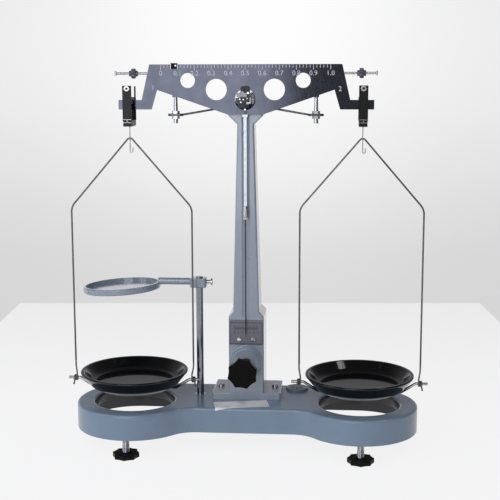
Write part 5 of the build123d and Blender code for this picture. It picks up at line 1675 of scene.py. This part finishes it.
    def carrier(self, bench: Bench) -> None:
        """Makes the ring under the pan and the two arms that rise to the ears."""
        wires = [ring((0, 0, self.carrier_z), self.carrier_ring, self.carrier_wire, Axis.Z, 128,
                      16)]
        near, far = self.carrier_bends
        for side in Side:
            line = rounded([(side.value * reach, 0, z) for reach, z in (
                (self.carrier_ring, self.carrier_z), (near, self.carrier_z), (far, self.ear_z),
                (self.carrier_tip, self.ear_z))], [self.carrier_round] * 2, 10)
            wires.append(tube(line, self.carrier_arm, (0, 1, 0), 20, self.carrier_dome))
        self.hang(bench, "carrier_wires", wires, "pan_carrier", "bare_steel",
                  Finishes.CARRIER_STEEL, ["carrier"])

    def pan(self, bench: Bench) -> None:
        """Makes the moulded dish: broad round lip, round bends and a foot under its rim."""
        low, rim, floor, deep = self.pan_low, self.pan_rim, self.pan_floor, self.foot_depth
        outline = rounded([(0, low + deep), (self.foot_reach, low + deep), (self.foot_reach, low),
                           (self.pan_base, low), (self.pan_reach, rim), (self.pan_mouth, rim),
                           (self.pan_corner, floor), (0, floor)], self.pan_rounds, 12)
        self.hang(bench, "dish", [turned(outline, Axis.Z, (0, 0, 0), 160)], "pan_dish",
                  "pan_black", Finishes.PAN_LACQUER, ["pan"], crease=60)


@dataclass
class BeakerStand:
    """Post with the swinging dish that holds a beaker."""

    def build(self, bench: Bench) -> None:
        """Dresses the stand."""
        bench.dress(Finishes.POST_STEEL, "stand_post")
        bench.dress(Finishes.BRIGHT_STEEL, "stand_socket")
        bench.dress(Finishes.TRAY_PAINT, "beaker_tray")
        bench.dress(Finishes.WIRE_STEEL, "tray_screw")


# ------------------------------------------------------------------ studio
@dataclass(frozen=True)
class Softbox:
    """A rectangular lamp, in metres."""

    name: str
    place: tuple[float, float, float]
    target: tuple[float, float, float]
    width: float
    height: float
    brightness: float
    colour: Colour = (1.0, 1.0, 1.0)

    def light(self) -> None:
        """Adds the lamp; its power is pi x area x brightness."""
        data = bpy.data.lights.new(self.name, "AREA")
        data.shape = "RECTANGLE"
        data.size, data.size_y = self.width, self.height
        data.energy = math.pi * self.width * self.height * self.brightness
        data.color = self.colour
        lamp = bpy.data.objects.new(self.name, data)
        lamp.location = self.place
        aim = np.array(self.target) - np.array(self.place)
        lamp.rotation_mode = "QUATERNION"
        lamp.rotation_quaternion = Vector(aim.tolist()).to_track_quat("-Z", "Y")
        bpy.context.scene.collection.objects.link(lamp)


@dataclass(frozen=True)
class Fade:
    """A change of the surroundings' colour along one direction, eased at both ends."""

    axis: str
    low: float
    high: float
    start: float
    end: float
    colour: Colour


@dataclass
class Studio:
    """White table with a soft backdrop, soft lamps and the camera."""

    lamps: list[Softbox] = field(default_factory=lambda: [
        Softbox("front_left_panel", (-0.45, -1.55, 0.46), (-0.45, 0.0, 0.46), 0.84, 0.8, 2.95,
                DAYLIGHT),
        Softbox("front_top", (-0.25, -1.35, 1.15), (0.0, 0.0, 0.2), 1.3, 0.5, 3.2),
        Softbox("left_side", (-1.35, -0.6, 0.45), (-0.1, 0.0, 0.2), 0.6, 0.8, 1.8, DAYLIGHT),
        Softbox("left_top", (-0.86, -0.3, 1.2), (-0.05, 0.0, 0.1), 0.32, 0.32, 4.5),
        Softbox("right_top", (0.86, -0.34, 1.2), (0.05, 0.0, 0.1), 0.32, 0.32, 5.5),
    ])
    camera_place: tuple[float, float, float] = (0.09857, -1.2023, 0.42733)
    yaw: float = -0.0778
    pitch: float = 0.1636
    roll: float = -0.0024
    lens: float = 77.74
    sensor: float = 36.0
    clip: tuple[float, float] = (0.05, 30.0)
    table_edge: tuple[tuple[float, float], ...] = (
        (-1.7, -1.8), (1.7, -1.8), (1.7, 0.5), (0.39, 0.6), (0.373, 0.8), (-0.486, 0.742),
        (-0.476, 0.58), (-1.7, 0.5))
    table_z: float = -0.0002
    cloud_size: float = 260.0
    far_edge: tuple[float, float] = (150.0, 780.0)
    whiteness: float = 0.88
    skyline: tuple[float, float] = (-0.25, 0.1)
    glow_x: float = -0.078
    glow_edge: tuple[float, float] = (0.02, 0.24)
    glow: tuple[tuple[float, int], ...] = ((-0.25, 218), (-0.21, 219), (-0.154, 226),
                                           (-0.099, 239), (-0.044, 247), (0.011, 253),
                                           (0.1, 254))
    sides: tuple[tuple[float, int], ...] = ((-0.25, 213), (-0.21, 214), (-0.154, 217),
                                            (-0.099, 225), (-0.044, 233), (0.011, 237),
                                            (0.1, 236))
    fades: tuple[Fade, ...] = (Fade("Z", 0.12, 0.3, 0, 1, (0.32, 0.32, 0.34)),
                               Fade("Y", -0.1, 0.45, 1, 0, (0.26, 0.265, 0.275)),
                               Fade("X", 0.3, 0.75, 0, 0.85, (0.08, 0.085, 0.1)),
                               Fade("Z", 0.4, 0.75, 0, 1, (0.13, 0.13, 0.135)))

    def build(self) -> None:
        """Sets up the table, the surroundings, the lamps and the camera."""
        self.table()
        self.surroundings()
        for lamp in self.lamps:
            lamp.light()
        self.camera()
        bpy.context.scene.view_settings.view_transform = "Standard"

    def table(self) -> None:
        """Makes the pale table top; it is whiter for the camera and keeps the shadow."""
        points = [(x, y, self.table_z) for x, y in self.table_edge]
        mesh = bpy.data.meshes.new("table_top")
        mesh.from_pydata(points, [], [list(range(len(points)))])
        pattern = Pattern("table_white")
        pattern.plain(Roughness=0.7, Specular_IOR_Level=0.2)
        pattern.drive("Base Color", pattern.blend(pattern.spots(self.cloud_size, 2, 0.3, 0.7),
                                                  tone(236, 236, 237), tone(240, 240, 241)))
        self.whiten(pattern)
        mesh.materials.append(pattern.material)
        top = bpy.data.objects.new("table_top", mesh)
        bpy.context.scene.collection.objects.link(top)

    def whiten(self, pattern: Pattern) -> None:
        """Mixes in a flat white for the camera, mirrors and glass, darker towards the far edge."""
        nodes, links = pattern.tree.nodes, pattern.tree.links
        flat = nodes.new("ShaderNodeEmission")
        links.new(pattern.blend(pattern.height(*self.far_edge, "Y"), tone(252, 252, 253),
                                tone(243, 243, 244)), flat.inputs["Color"])
        mix = nodes.new("ShaderNodeMixShader")
        links.new(pattern.maths("MULTIPLY", pattern.seen(), self.whiteness), mix.inputs[0])
        links.new(pattern.shader.outputs[0], mix.inputs[1])
        links.new(flat.outputs[0], mix.inputs[2])
        links.new(mix.outputs[0], pattern.output.inputs[0])

    def surroundings(self) -> None:
        """Paints the surroundings by direction: a glow behind, a dim room in front and right."""
        world = bpy.data.worlds.new("studio")
        bpy.context.scene.world = world
        world.use_nodes = True
        sky = Graph(world.node_tree)
        nodes, links = sky.tree.nodes, sky.tree.links
        split = nodes.new("ShaderNodeSeparateXYZ")
        links.new(nodes.new("ShaderNodeTexCoord").outputs["Generated"], split.inputs[0])
        off = sky.maths("ABSOLUTE", sky.maths("ADD", split.outputs["X"], -self.glow_x), 0.0)
        near = sky.span(off, *self.glow_edge, 1, 0, soft=True)
        wall = sky.blend(near, sky.ramp(split.outputs["Z"], *self.skyline, self.sides),
                         sky.ramp(split.outputs["Z"], *self.skyline, self.glow))
        room = wall
        for fade in self.fades:
            share = sky.span(split.outputs[fade.axis], fade.low, fade.high, fade.start, fade.end,
                             soft=True)
            room = sky.blend(share, room, fade.colour)
        path = nodes.new("ShaderNodeLightPath")
        shine = nodes.new("ShaderNodeBackground")
        links.new(sky.blend(path.outputs["Is Camera Ray"], room, wall), shine.inputs["Color"])
        output = nodes.new("ShaderNodeOutputWorld")
        links.new(shine.outputs[0], output.inputs[0])

    def camera(self) -> None:
        """Adds the camera from its place and its three angles."""
        ahead = np.array([math.sin(self.yaw) * math.cos(self.pitch),
                          math.cos(self.yaw) * math.cos(self.pitch), -math.sin(self.pitch)])
        level = np.array([math.cos(self.yaw), -math.sin(self.yaw), 0.0])
        above = np.cross(level, ahead)
        right = math.cos(self.roll) * level + math.sin(self.roll) * above
        up = -math.sin(self.roll) * level + math.cos(self.roll) * above
        data = bpy.data.cameras.new("camera")
        data.lens, data.sensor_width = self.lens, self.sensor
        data.clip_start, data.clip_end = self.clip
        eye = bpy.data.objects.new("camera", data)
        placed = np.eye(4)
        placed[:3, 0], placed[:3, 1], placed[:3, 2] = right, up, -ahead
        placed[:3, 3] = self.camera_place
        eye.matrix_world = Matrix(placed.tolist())
        bpy.context.scene.collection.objects.link(eye)
        bpy.context.scene.camera = eye


def main() -> None:
    """Loads the frame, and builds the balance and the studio."""
    logging.basicConfig(level=logging.INFO, format="%(message)s")
    bench = Bench(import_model())
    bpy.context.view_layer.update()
    for part in (Base(), Column(), Bearing(), Beam(), Pointer(), HangingSet(Side.LEFT),
                 HangingSet(Side.RIGHT), BeakerStand()):
        part.build(bench)
    Studio().build()
    bare = [name for name, node in bench.frame["nodes"].items()
            if not node.hide_render and node.data.materials[0] not in Finish.made.values()]
    LOG.info("made %d pieces; nodes left bare: %s", bench.pieces, bare)


if __name__ == "__main__":
    main()
